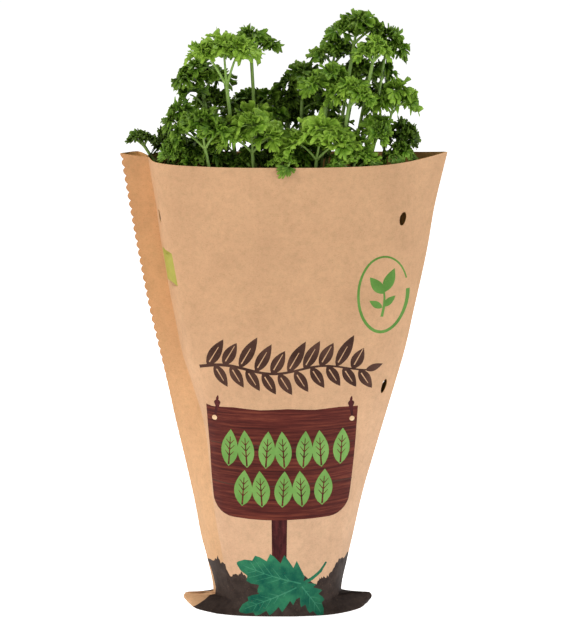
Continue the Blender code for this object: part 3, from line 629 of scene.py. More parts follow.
def prints():
    """Regions of the front in x, z millimetres: (material, outlines). Later ones lie on earlier ones."""
    found = []
    # the garland across the middle, in brown line work: a waving stalk with leaves up and down
    def wave(x):
        return 167.5 + 2.4 * math.sin((x + 53) / 10.5)

    xs = np.linspace(-52.0, 58.0, 56)
    found.append((BROWN, [stroke([(x, wave(x)) for x in xs], np.linspace(2.2, 1.1, 56))]))
    for k in range(10):
        x = -47.0 + 10.6 * k
        tall = (21.5, 18.0, 24.0)[k % 3] if k < 9 else 16.0
        found.append((BROWN, [outline_leaf(x, wave(x) - 0.3, tall, 8.2, 60)]))
        found.append((BROWN, [outline_leaf(x + 4.6, wave(x + 4.6) + 0.3, 17.0, 7.4, -58)]))
    found.append((BROWN, [outline_leaf(57.4, wave(58.0) - 0.2, 12.0, 5.0, 12)]))
    for k in range(10):
        x = -47.0 + 10.6 * k
        for x0, z0, far, turn in ((x, wave(x), 15.0, 60), (x + 4.6, wave(x + 4.6), 12.0, -58)):
            a = math.radians(turn)
            rib = [(x0 + r * math.cos(a), z0 + r * math.sin(a)) for r in np.linspace(3.0, far, 5)]
            found.append((KRAFT, [stroke(rib, np.linspace(0.8, 0.4, 5))]))
    # the board on its post
    found.append((POST, [[(-4.6, 69.0), (-4.2, 30.0), (5.2, 30.0), (5.8, 69.0)]]))
    board = [(-47.8, 142.2), (-44.0, 141.2), (-30.0, 141.9), (-12.0, 140.9), (6.0, 141.8), (24.0, 140.8),
             (40.0, 141.6), (52.8, 140.9), (51.8, 128.0), (51.2, 118.0), (49.8, 104.0), (48.6, 92.0), (47.4, 82.0)]
    board += [(33.6 + 13.4 * math.cos(a), 80.0 - 12.6 * math.sin(a)) for a in np.linspace(0.06, math.pi / 2, 8)]
    board += [(14.0, 67.6), (-6.0, 67.2), (-20.0, 67.5)]
    board += [(-29.6 - 13.6 * math.sin(a), 80.6 - 12.8 * math.cos(a)) for a in np.linspace(0.0, math.pi / 2, 8)]
    board += [(-44.0, 92.0), (-45.0, 104.0), (-46.4, 122.0)]
    found.append((SIGN, [board]))
    for x0, x1, z, dip in ((-45.2, 49.9, 116.5, 0.8), (-43.4, 48.6, 90.5, -0.7)):
        line = [(x, z + dip * math.sin((x - x0) / 14.0)) for x in np.linspace(x0, x1, 34)]
        found.append((BROWN, [stroke(line, 0.7)]))
    for x, z, lean in ((-40.4, 143.5, -1.6), (48.2, 142.6, 0.8)):
        knot = [(x + 2.0 * math.cos(a) * (1 + 0.2 * math.sin(3 * a)), z + 2.9 * math.sin(a)) for a in np.linspace(0, 2 * math.pi, 15)[:-1]]
        found.append((POST, [knot]))
        found.append((POST, [outline_leaf(x - 0.3, z + 1.5, 4.4, 1.8, 80)]))
        found.append((POST, [stroke([(x + lean * t, z - 1.5 - 6.5 * t) for t in np.linspace(0, 1, 6)], np.linspace(2.4, 1.4, 6))]))
    for x, z in ((-42.4, 133.4), (48.8, 132.6)):
        found.append((ROPE, [[(x + 1.7 * math.cos(a), z + 1.7 * math.sin(a)) for a in np.linspace(0, 2 * math.pi, 13)[:-1]]]))
    # rows of green leaves on the board
    for count, x0, x1, z0, tall in ((7, -33.0, 41.0, 102.0, 25.0), (5, -24.0, 29.0, 76.0, 24.5)):
        step = (x1 - x0) / (count - 1)
        for k in range(count):
            x = x0 + k * step
            lean = 90 + (4 if k % 2 else -4)
            found.append((LIME, [outline_leaf(x, z0, tall, step * 0.90, lean)]))
            a = math.radians(lean)
            vein = [(x + t * math.cos(a), z0 + t * math.sin(a)) for t in np.linspace(1.0, tall * 0.80, 7)]
            found.append((SIGN, [stroke(vein, np.linspace(1.2, 0.5, 7))]))
            for t in (0.28, 0.44, 0.60):
                for turn in (40, -40):
                    b = math.radians(lean + turn)
                    x2, z2 = x + t * tall * math.cos(a), z0 + t * tall * math.sin(a)
                    reach = step * 0.34 * (1.15 - abs(t - 0.40))
                    rib = [(x2 + r * math.cos(b), z2 + r * math.sin(b)) for r in np.linspace(0.3, reach, 4)]
                    found.append((SIGN, [stroke(rib, np.linspace(0.7, 0.35, 4))]))
    # a plain green ring with a sprout in it, on the right
    ring_x, ring_z = 69.0, 215.5
    turns = np.linspace(0.35, 2 * math.pi + 0.05, 46)
    loop = [(ring_x + 16.6 * math.cos(a), ring_z + 25.5 * math.sin(a)) for a in turns]
    found.append((GREEN, [stroke(loop, np.linspace(1.0, 2.6, 46))]))
    stalk = [(ring_x - 1.0 + 1.6 * math.sin(t * 2.2), ring_z - 15 + 17 * t) for t in np.linspace(0, 1, 9)]
    found.append((GREEN, [stroke(stalk, np.linspace(2.0, 1.2, 9))]))
    found.append((GREEN, [outline_leaf(ring_x + 0.5, ring_z + 1.5, 17.0, 7.6, 66)]))
    found.append((GREEN, [outline_leaf(ring_x + 0.2, ring_z + 0.5, 15.0, 7.0, 128)]))
    found.append((GREEN, [outline_leaf(ring_x - 0.4, ring_z - 8.0, 10.5, 5.0, 35)]))
    found.append((GREEN, [outline_leaf(ring_x - 0.8, ring_z - 8.8, 10.0, 4.6, 148)]))
    return found


def soil_print():
    """The dark ground printed around the foot: a ragged top edge, its left end on the folded corner."""
    left = [(-57.5, 0.0), (-52.0, 3.2), (-46.0, 6.4), (-42.6, 7.6), (-42.2, 12.0), (-44.0, 20.0), (-46.0, 26.0), (-48.6, 30.6)]
    top = [(-45.6, 31.2), (-43.0, 32.8), (-40.6, 36.4), (-38.6, 33.0), (-36.2, 33.4), (-34.2, 28.0), (-31.8, 24.2),
           (-29.6, 27.4), (-27.2, 26.4), (-25.0, 29.2), (-22.6, 27.1), (-20.0, 24.6), (-17.4, 27.6), (-14.0, 25.8),
           (-11.0, 28.8), (-8.0, 26.2), (-4.6, 28.4), (-1.0, 25.4), (2.4, 29.0), (6.0, 27.0), (9.6, 30.2),
           (13.0, 27.4), (16.1, 28.4), (19.4, 25.0), (22.0, 22.4), (25.3, 21.4), (27.4, 24.2), (29.2, 25.1),
           (31.6, 24.2), (33.8, 25.7), (36.4, 29.4), (38.6, 33.0), (41.0, 35.2), (43.6, 33.6), (46.6, 35.0), (49.0, 34.0)]
    ragged = []
    for (x0, z0), (x1, z1) in zip(top, top[1:]):
        for t in (0.0, 0.33, 0.66):
            x = x0 + (x1 - x0) * t
            ragged.append((x, z0 + (z1 - z0) * t + 0.75 * math.sin(x * 4.9) + 0.45 * math.sin(x * 11.3 + 1.0)))
    return left + ragged + [(49.0, 34.0), (64.0, 33.0), (66.0, 0.0)]


def soil_back(x):
    return 29.0 + 4.2 * math.sin(x * 0.31) + 3.0 * math.sin(x * 0.83 + 1.0) + 1.4 * math.sin(x * 2.3)


def serrated(x, z, length, width, angle, teeth):
    """One leaflet with forward-pointing teeth on both sides."""
    a = math.radians(angle)

    def half(sign):
        side = []
        for k in range(teeth):
            for t, out in ((k / teeth, 0.74), ((k + 0.55) / teeth, 1.0), ((k + 0.93) / teeth, 1.18)):
                body = math.sin(math.pi * min(0.08 + 0.92 * t, 1.0) ** 0.8) ** 0.75
                side.append((t * length, sign * width / 2 * max(body * out, 0.03)))
        return side

    points = half(1) + [(length, 0.0)] + half(-1)[::-1]
    return [(x + u * math.cos(a) - v * math.sin(a), max(z + u * math.sin(a) + v * math.cos(a), 0.4)) for u, v in points]


def leaf_picture():
    """The big leaf lying on the printed ground: three toothed leaflets on a stalk, with pale veins."""
    teal, pale = [], []
    stalk = [(31.5, 35.5), (28.0, 29.5), (22.0, 25.0), (15.0, 21.5), (7.0, 19.0)]
    teal.append(stroke(stalk, [1.3, 2.0, 2.4, 2.6, 2.6]))
    for x, z, length, width, angle, teeth, ribs in (
        (16.0, 22.0, 46.0, 28.0, 163, 5, 5), (13.0, 20.0, 43.0, 19.0, 204, 5, 5), (15.0, 21.0, 26.0, 15.0, 304, 4, 3),
    ):
        teal.append(serrated(x, z, length, width, angle, teeth))
        a = math.radians(angle)
        line = [(x + r * math.cos(a), max(z + r * math.sin(a), 0.5)) for r in np.linspace(1.0, length * 0.9, 10)]
        pale.append(stroke(line, np.linspace(1.0, 0.3, 10)))
        for k in range(ribs):
            t = (0.20 + 0.62 * k / ribs) * length
            for turn in (36, -36):
                b = math.radians(angle + turn)
                x2, z2 = x + t * math.cos(a), z + t * math.sin(a)
                far = width * 0.42 * math.sin(math.pi * (0.15 + 0.75 * k / ribs))
                rib = [(x2 + r * math.cos(b), max(z2 + r * math.sin(b), 0.5)) for r in np.linspace(0.4, max(far, 1.5), 4)]
                pale.append(stroke(rib, np.linspace(0.5, 0.2, 4)))
    return teal, pale


def label_patch():
    """The plain green patch on the steep strip beside the fin, already in sheet places."""
    u0, u1 = 2.05, 3.0
    return [(float(to_s(u0)), 243.5), (float(to_s(u1)), 242.4), (float(to_s(u1)), 220.5), (float(to_s(u0)), 222.0)]


VENTS = ((81.8, 265.0), (70.0, 151.0), (-78.2, 266.0))


def vent_outline(x, z, back):
    """The oval of a vent on the flat sheet, 6.4 mm along the paper and 9.5 mm tall."""
    (s, level), = to_sheet([(x, z)], back)
    u = float(to_u(s))
    here = section_xy(np.array([u - 0.05, u + 0.05]), np.array([level, level]), back)
    real = np.linalg.norm(here[1] - here[0])
    flat = float(to_s(u + 0.05) - to_s(u - 0.05))
    k = flat / real
    return [(s + 3.2 * k * math.cos(a), level + 4.75 * math.sin(a)) for a in np.linspace(0, 2 * math.pi, 29)[:-1]]


def finer(outline, step=2.2):
    out = []
    for (x0, z0), (x1, z1) in zip(outline, outline[1:] + outline[:1]):
        n = max(int(math.hypot(x1 - x0, z1 - z0) / step), 1)
        out += [(x0 + (x1 - x0) * i / n, z0 + (z1 - z0) * i / n) for i in range(n)]
    return out


def inside(outline, points):
    """Even-odd test of points against one outline."""
    x, z = points[:, 0], points[:, 1]
    hit = np.zeros(len(points), bool)
    px = np.array([p[0] for p in outline])
    pz = np.array([p[1] for p in outline])
    for x0, z0, x1, z1 in zip(px, pz, np.roll(px, -1), np.roll(pz, -1)):
        if z0 == z1:
            continue
        crosses = (z0 > z) != (z1 > z)
        hit ^= crosses & (x < (x1 - x0) * (z - z0) / (z1 - z0) + x0)
    return hit


def sheet_half(back):
    """Triangles of one half on the flat sheet: places, faces, material of each face."""
    regions = []                                       # (material, outline in sheet places)

    def put(material, outline):
        outline = finer([tuple(p) for p in outline])
        flat = to_sheet(outline, back)
        flat[:, 0] = np.clip(flat[:, 0], 0.0, WIDTH)
        regions.append((material, [tuple(p) for p in flat]))

    if not back:
        put(EARTH, soil_print())
        for material, outlines in prints():
            for outline in outlines:
                put(material, outline)
        teal, pale = leaf_picture()
        for outline in teal:
            put(TEAL, outline)
        for outline in pale:
            put(TEAL_PALE, outline)
        regions.append((LABEL, label_patch()))
    else:
        xs = np.linspace(-49.0, 49.0, 60)
        put(EARTH, [(-60.0, 0.0)] + [(x, soil_back(x)) for x in xs] + [(64.0, 30.0), (66.0, 0.0)])
    vents = [vent_outline(x, z, back) for x, z in VENTS]

    rows = list(np.arange(10.0, MOUTH - 1, 3.0)) + [1.5, 3.0, 4.4, 5.8, 7.2, 7.35, 7.5, 7.65, 7.8, 7.9]
    columns = np.linspace(0, WIDTH, int(WIDTH / 2.8) + 1)
    valley = float(to_s(2.0))
    columns = np.sort(np.append(columns[np.abs(columns - valley) > 1.2], [valley, valley - 0.8, valley + 0.8]))
    points, fixed = [], []

    def chain(places, close):
        start = len(points)
        points.extend(places)
        n = len(places)
        fixed.extend((start + i, start + i + 1) for i in range(n - 1))
        if close:
            fixed.append((start + n - 1, start))

    edge_z = np.unique(np.round(np.concatenate([np.arange(0, MOUTH + 0.01, 0.56), [MOUTH]]), 3))
    edge = [(float(pinked(z)), float(z)) for z in edge_z]
    chain(edge, False)
    chain([(c, 0.0) for c in columns if c > 3.0], False)
    chain([(WIDTH, z) for z in sorted(rows + [0.0, MOUTH])], False)
    chain([(c, MOUTH) for c in columns if c > 3.0], False)
    chain([(valley, z) for z in sorted(rows + [0.0, MOUTH])], False)
    for outline in [o for _, o in regions] + vents:
        chain(outline, True)
    taken = np.array(points)
    grid = np.array([(c, z) for z in rows for c in columns if 2.6 < c < WIDTH - 0.1 and abs(c - valley) > 0.1])
    keep = []
    cell = {}
    for x, z in taken:
        cell.setdefault((int(x // 1.0), int(z // 1.0)), []).append((x, z))
    for x, z in grid:
        near = False
        reach = 0.45
        for i in (-1, 0, 1):
            for j in (-1, 0, 1):
                for x2, z2 in cell.get((int(x // 1.0) + i, int(z // 1.0) + j), ()):
                    if abs(x - x2) < reach and abs(z - z2) < (reach if z > 9 else 0.05):
                        near = True
        if not near:
            keep.append((x, z))
    points.extend(keep)
    out = geometry.delaunay_2d_cdt([Vector(p) for p in points], fixed, [], 0, 1e-4)
    places = np.array([(v[0], v[1]) for v in out[0]])
    faces = np.array([f for f in out[2] if len(f) == 3])
    a, b, c = (places[faces[:, k]] for k in range(3))
    twice = (b[:, 0] - a[:, 0]) * (c[:, 1] - a[:, 1]) - (b[:, 1] - a[:, 1]) * (c[:, 0] - a[:, 0])
    faces = np.where((twice < 0)[:, None], faces[:, ::-1], faces)
    middle = (a + b + c) / 3
    good = np.abs(twice) > 1e-7
    good &= middle[:, 0] > np.interp(middle[:, 1], edge_z, [p[0] for p in edge]) - 1e-9
    for outline in vents:
        good &= ~inside(outline, middle)
    faces, middle = faces[good], middle[good]
    materials = np.zeros(len(faces), int)
    order = [KRAFT, KRAFT_FIN]
    materials[middle[:, 0] < valley] = 1
    for material, outline in regions:
        if material not in order:
            order.append(material)
        materials[inside(outline, middle)] = order.index(material)
    return places, faces, materials, order


def mesh_object(name, verts, faces, materials=None, slots=(), uv=None, smooth=True, colours=None):
    """A mesh from arrays in millimetres. faces is one array of triangles or of quads, or a list of such arrays."""
    groups = faces if isinstance(faces, list) else [faces]
    groups = [np.asarray(g, np.int32) for g in groups if len(g)]
    mesh = bpy.data.meshes.new(name)
    verts = np.asarray(verts, float) * MM
    mesh.vertices.add(len(verts))
    mesh.vertices.foreach_set("co", verts.astype(np.float32).ravel())
    loops = np.concatenate([g.ravel() for g in groups])
    sizes = np.concatenate([np.full(len(g), g.shape[1]) for g in groups])
    mesh.loops.add(len(loops))
    mesh.loops.foreach_set("vertex_index", loops.astype(np.int32))
    mesh.polygons.add(len(sizes))
    starts = np.concatenate([[0], np.cumsum(sizes)[:-1]]).astype(np.int32)
    mesh.polygons.foreach_set("loop_start", starts)
    mesh.polygons.foreach_set("loop_total", sizes.astype(np.int32))
    for material in slots:
        mesh.materials.append(material)
    if materials is not None:
        mesh.polygons.foreach_set("material_index", np.asarray(materials, np.int32))
    mesh.update(calc_edges=True)
    if uv is not None:
        layer = mesh.uv_layers.new(name="OFBake")
        layer.data.foreach_set("uv", np.asarray(uv, np.float32).ravel())
    if colours is not None:
        layer = mesh.attributes.new("leaf", "FLOAT_COLOR", "POINT")
        layer.data.foreach_set("color", np.asarray(colours, np.float32).ravel())
    mesh.validate()
    if smooth:
        mesh.shade_smooth()
    obj = bpy.data.objects.new(name, mesh)
    bpy.context.scene.collection.objects.link(obj)
    return obj


def make_sheet():
    """Front and back in one sheet, folded at the right and glued at the left, 0.3 mm thick."""
    verts, faces, kinds, uv_places, slots = [], [], [], [], [KRAFT_IN]
    shared = {}
    for back in (False, True):
        places, tris, materials, order = sheet_half(back)
        where = sheet_points(places[:, 0], places[:, 1], back)
        number = np.empty(len(places), int)
        for i, (s, level) in enumerate(places):
            key = None
            if s > WIDTH - 1e-3:
                key = round(float(level), 2)
            if key is not None and back and key in shared:
                number[i] = shared[key]
                continue
            number[i] = len(verts)
            verts.append(where[i])
            if key is not None and not back:
                shared[key] = number[i]
        flat = tris[:, ::-1] if back else tris
        for material in order:
            if material not in slots:
                slots.append(material)
        lookup = np.array([slots.index(material) for material in order])
        faces.append(number[flat])
        kinds.append(lookup[materials])
        uv = places[flat.ravel()].reshape(-1, 3, 2) + ((242.0, 0.0) if back else (0.0, 0.0))
        uv_places.append(uv)
    verts = np.array(verts)
    outer = np.vstack(faces)
    kinds = np.concatenate(kinds)
    uv_outer = np.vstack(uv_places)
    a, b, c = (verts[outer[:, k]] for k in range(3))
    area = np.cross(b - a, c - a)
    normals = np.zeros_like(verts)
    for k in range(3):
        np.add.at(normals, outer[:, k], area)
    normals /= np.maximum(np.linalg.norm(normals, axis=1), 1e-12)[:, None]
    used = np.unique(outer)
    renumber = np.full(len(verts), -1)
    renumber[used] = np.arange(len(used))
    outer = renumber[outer]
    verts, normals = verts[used], normals[used]
    n = len(verts)
    inner = outer[:, ::-1] + n
    edges = {}
    for f, tri in enumerate(outer):
        for k in range(3):
            i, j = int(tri[k]), int(tri[(k + 1) % 3])
            if (j, i) in edges:
                del edges[(j, i)]
            else:
                edges[(i, j)] = (f, k)
    rim = np.array([(j, i, i + n, j + n) for i, j in edges])
    rim_uv = []
    for (i, j), (f, k) in edges.items():
        p, q = uv_outer[f, k], uv_outer[f, (k + 1) % 3]
        rim_uv.append((q, p, p, q))
    thick = SHEET * (0.3 + 0.7 * np.clip((verts[:, 2] - 8.0) / 4.0, 0, 1))
    all_verts = np.vstack([verts, verts - normals * thick[:, None]])
    all_verts[:, 2] = np.maximum(all_verts[:, 2], 0.02)
    uv_inner = uv_outer[:, ::-1] * 0.5 + (0.0, 312.0)
    scale = 1 / 490.0
    uv = np.concatenate([uv_outer.reshape(-1, 2), uv_inner.reshape(-1, 2), np.array(rim_uv).reshape(-1, 2)]) * scale + 0.004
    # in the thin folded corners of the foot the paper is printed through
    low = verts[outer].mean(axis=1)[:, 2] < 10.0
    tri_kinds = np.concatenate([kinds, np.where(low, kinds, 0), np.zeros(len(rim), int)])
    sheet = mesh_object("sleeve_sheet", all_verts, [np.vstack([outer, inner]), rim], tri_kinds, slots, uv)
    sheet.data.set_sharp_from_angle(angle=math.radians(48))
    return sheet


def make_sleeve_base():
    """The folded paper bottom, a thin slab between the two sheets."""
    outline = inset(ring(0.4), 0.55)
    low = np.column_stack([outline, np.full(len(outline), 0.12)])
    high = np.column_stack([outline, np.full(len(outline), 0.5)])
    n = len(outline)
    verts = list(low) + list(high) + [(0, 0, 0.12), (0, 0, 0.5)]
    sides = [(i, (i + 1) % n, n + (i + 1) % n, n + i) for i in range(n)]
    caps = [((i + 1) % n, i, 2 * n) for i in range(n)] + [(n + i, n + (i + 1) % n, 2 * n + 1) for i in range(n)]
    made = mesh_object("sleeve_bottom", np.array(verts), [np.array(caps), np.array(sides)], None, [KRAFT_IN])
    made.data.set_sharp_from_angle(angle=math.radians(40))
    return made

# ------------------------------------------------------------------ the fronds
# Each row is one frond: x, y, z of the node where its stem divides, the width of its leaf mass,
# the turn of that mass about the vertical, and how long its branches are against the usual.
# The fronds that make the front and the outline come first, then the ones behind them.
FRONDS = [
    (-34, -5, 351, 40, 0, 2.0), (-18, 8, 367, 31, 20, 1.0), (50, 10, 377, 34, 10, 0.9),
    (62, 4, 367, 26, 40, 0.9), (73, -3, 369, 36, -10, 0.55), (36, 15, 362, 28, 0, 1.0),
    (50, 20, 346, 30, 50, 1.0), (16, 3, 343, 31, -20, 1.0), (32, -9, 345, 31, 30, 1.0),
    (6, 9, 327, 28, 60, 1.0), (46, -17, 338, 30, -30, 1.0), (78, -5, 333, 38, 15, 0.8),
    (66, 16, 330, 28, 60, 1.0), (-50, 5, 344, 35, 20, 1.0), (-42, 18, 328, 28, -40, 1.0),
    (-63, 0, 321, 31, 30, 1.0), (-48, -15, 312, 40, -10, 1.0), (-70, -8, 301, 27, 60, 1.0),
    (-86, 2, 309, 16, 0, 1.0), (-18, 12, 325, 29, 10, 1.0), (-17, -24, 309, 47, 5, 0.9),
    (-44, -26, 293, 32, -20, 1.0), (-26, 0, 293, 32, 40, 1.0), (80, 2, 306, 31, -40, 1.0),
    (82, -10, 291, 27, 20, 1.0), (25, -29, 305, 44, -5, 0.9), (13, -14, 292, 27, 70, 1.0),
    (8, -37, 300, 16, 0, 0.8), (69, 14, 299, 30, 30, 1.0), (34, 14, 308, 30, -60, 1.0),
    (48, -4, 292, 30, 20, 1.0), (-7, 4, 300, 30, -70, 1.0), (57, -14, 314, 30, 50, 1.0),
    (-31, 3, 320, 29, -20, 1.0), (-56, 10, 291, 30, 0, 1.0),
    (-68, 24, 300, 30, 30, 1.0), (-50, 32, 312, 32, -10, 1.0), (-28, 28, 330, 32, 20, 1.0),
    (-8, 32, 316, 32, -30, 1.0), (14, 28, 322, 32, 40, 1.0), (30, 34, 330, 30, 0, 1.0),
    (50, 34, 318, 32, -20, 1.0), (70, 30, 306, 30, 20, 1.0), (-34, 38, 296, 28, 0, 1.0),
    (2, 38, 296, 28, 0, 1.0), (38, 38, 296, 28, 0, 1.0), (84, 16, 290, 24, -60, 1.0),
]
GAP = 0.45
CELL = 1.5
FIELD_LOW = np.array((-125.0, -75.0, 60.0))
FIELD_SHAPE = np.array((168, 100, 244))
BASE_X, BASE_Y = 0.30, 0.55     # the stems' feet are the nodes' places drawn in towards the axis


class Clearance:
    """A grid over the sleeve's mouth that knows the distance to the nearest thing already placed."""

    def __init__(self):
        self.far = 9.0
        self.field = np.full(FIELD_SHAPE, self.far, np.float32)

    def add(self, centres, radii):
        for centre, radius in zip(centres, radii):
            reach = int(math.ceil((radius + self.far) / CELL))
            cell = np.round((centre - FIELD_LOW) / CELL).astype(int)
            low = np.maximum(cell - reach, 0)
            high = np.minimum(cell + reach + 1, FIELD_SHAPE)
            if (low >= high).any():
                continue
            axes = [FIELD_LOW[k] + CELL * np.arange(low[k], high[k]) - centre[k] for k in range(3)]
            squared = axes[0][:, None, None] ** 2 + axes[1][None, :, None] ** 2 + axes[2][None, None, :] ** 2
            window = self.field[low[0]:high[0], low[1]:high[1], low[2]:high[2]]
            np.minimum(window, np.sqrt(squared) - radius, out=window)

    def clear(self, centres, radii):
        cells = np.rint((centres - FIELD_LOW) / CELL).astype(int)
        np.clip(cells, 0, FIELD_SHAPE - 1, out=cells)
        return bool((self.field[cells[:, 0], cells[:, 1], cells[:, 2]] - 1.2 > radii + GAP).all())


def unit(v):
    return v / max(np.linalg.norm(v), 1e-9)


def stem_weights():
    """How far each point of a stem follows its node in x, y and z: it leaves the soil upright."""
    rows = []
    for i in range(STEM_SEGMENTS + 1):
        t = i / STEM_SEGMENTS
        s = t ** 1.35
        rows.append((BASE_X + (1 - BASE_X) * s, BASE_Y + (1 - BASE_Y) * s, t))
    return np.array(rows)


def frond_shape(x, y, z, width, turn, stretch, move=(0.0, 0.0, 0.0)):
    """The node, the stem and the leaf domes of one frond; move shifts the node and the rest follows."""
    foot = SOIL_TOP + 0.4
    node = np.array((x, y, z), float)
    weights = stem_weights()
    start = np.array((0.0, 0.0, foot))
    stem = start + weights * (node - start)
    forward = unit(stem[-1] - stem[-2])
    stem = stem + weights * np.array(move)
    node = node + move
    a = math.radians(turn)
    side = np.array((math.cos(a), math.sin(a), 0.0))
    across = np.array((-math.sin(a), math.cos(a), 0.0))
    branches = []
    for reach, rise, lean, share in ((-0.30, 0.30 * stretch, 0.06, 0.46), (0.30, 0.33 * stretch, -0.06, 0.46),
                                     (0.03, 0.50 * stretch ** 0.5, 0.0, 0.50)):
        tip = node + side * (reach * width) + across * (lean * width) + forward * (rise * width)
        outward = unit(unit(tip - node) * 0.55 + np.array((0, 0, 1.0)))
        branches.append((tip, outward, share * width))
    return node, stem, branches


def balls(shape):
    """Balls that fill the frond, for the clearance test, and how far each follows the node."""
    node, stem, branches = shape
    weights = stem_weights()
    centres, radii, follow = [], [], []
    for i in range(STEM_SEGMENTS):
        steps = int(np.linalg.norm(stem[i + 1] - stem[i]) / 2.5)
        for j in range(steps):
            centres.append(stem[i] + (stem[i + 1] - stem[i]) * j / steps)
            follow.append(weights[i] + (weights[i + 1] - weights[i]) * j / steps)
            radii.append(STEM_R0 + 0.1)
    for tip, outward, size in branches:
        found = [(node + (tip - node) * i / 8, BRANCH_R + 0.1) for i in range(1, 8)]
        u = unit(np.cross(outward, (0.3, 1.0, 0.2)))
        v = np.cross(outward, u)
        middle = tip + outward * (0.05 * size)
        found.append((middle + outward * (0.04 * size), 0.17 * size))
        for out, count, thick in ((0.24, 6, 0.105), (0.42, 12, 0.055)):
            for i in range(count):
                a = 2 * math.pi * i / count
                found.append((middle + (u * math.cos(a) + v * math.sin(a)) * (out * size), thick * size))
        centres += [c for c, _ in found]
        radii += [r for _, r in found]
        follow += [np.ones(3)] * len(found)
    return np.array(centres), np.array(radii), np.array(follow)


def place_fronds():
    """Each frond goes to the nearest free place around where it is wanted, sooner back or forth than aside."""
    room = Clearance()
    for z in np.arange(64.0, 306.5, 3.0):
        outline = np.array(half_section(z, False, (4,) * 9) + half_section(z, True, (4,) * 9))
        where = np.column_stack([outline, [ring_height(z, x) for x in outline[:, 0]]])
        for a, b in zip(where, where[1:]):
            steps = max(int(np.linalg.norm(b - a) / 3), 1)
            room.add(np.array([a + (b - a) * i / steps for i in range(steps)]), np.full(steps, 1.6))
    shifts = sorted(
        (abs(dx) + 1.2 * abs(dz) + 0.3 * abs(dy), dx, dy, dz)
        for dx in range(-15, 16, 3) for dz in (-12, -8, -4, -2, 0, 2, 4, 8) for dy in range(-32, 33, 4)
    )
    placed = []
    for x, y, z, width, turn, stretch in FRONDS:
        tries = []
        for scale in (1.0, 0.86, 0.72):
            for twist in (0, 30, -30, 60, -60, 90):
                tries.append((20 * (1 - scale) + abs(twist) / 15, scale, twist,
                              balls(frond_shape(x, y, z, width * scale, turn + twist, stretch))))
        best = None
        for more, scale, twist, (centres, radii, follow) in tries:
            for cost, dx, dy, dz in shifts:
                if abs(y + dy) > 42:
                    continue
                if best and cost + more >= best[0]:
                    break
                if room.clear(centres + follow * (dx, dy, dz), radii):
                    best = (cost + more, scale, twist, (dx, dy, dz))
                    break
        if best is None:
            print("no room for the frond at", x, y, z)
            continue
        _, scale, twist, move = best
        shape = frond_shape(x, y, z, width * scale, turn + twist, stretch, move)
        room.add(*balls(shape)[:2])
        placed.append(shape)
    return placed


# ------------------------------------------------------------------ leaves and stems in detail
RINGS = (0.09, 0.36, 0.64, 0.85, 1.0)       # places along a leaflet's rays
TEETH, PER_TOOTH = 7, 4
RAYS = TEETH * PER_TOOTH
LEAF_THICK = 0.30
DEEP_CUTS = (8, 20)                         # rays where a leaflet is cut deep into three lobes


def fan_topology():
    """Faces of one closed leaflet. The rim is shared by its top and its underside."""
    m, n = len(RINGS), RAYS + 1
    top = np.arange(m * n).reshape(m, n)
    low = top.copy()
    low[1:-1, 1:-1] = m * n + np.arange((m - 2) * (n - 2)).reshape(m - 2, n - 2)

    def quads(g, flip):
        q = np.stack([g[:-1, :-1], g[1:, :-1], g[1:, 1:], g[:-1, 1:]], axis=-1).reshape(-1, 4)
        return q[:, ::-1] if flip else q

    return quads(top, False), quads(low, True), top, low


TOP_QUADS, LOW_QUADS, TOP_GRID, LOW_GRID = fan_topology()
FAN_VERTS = int(LOW_GRID.max()) + 1


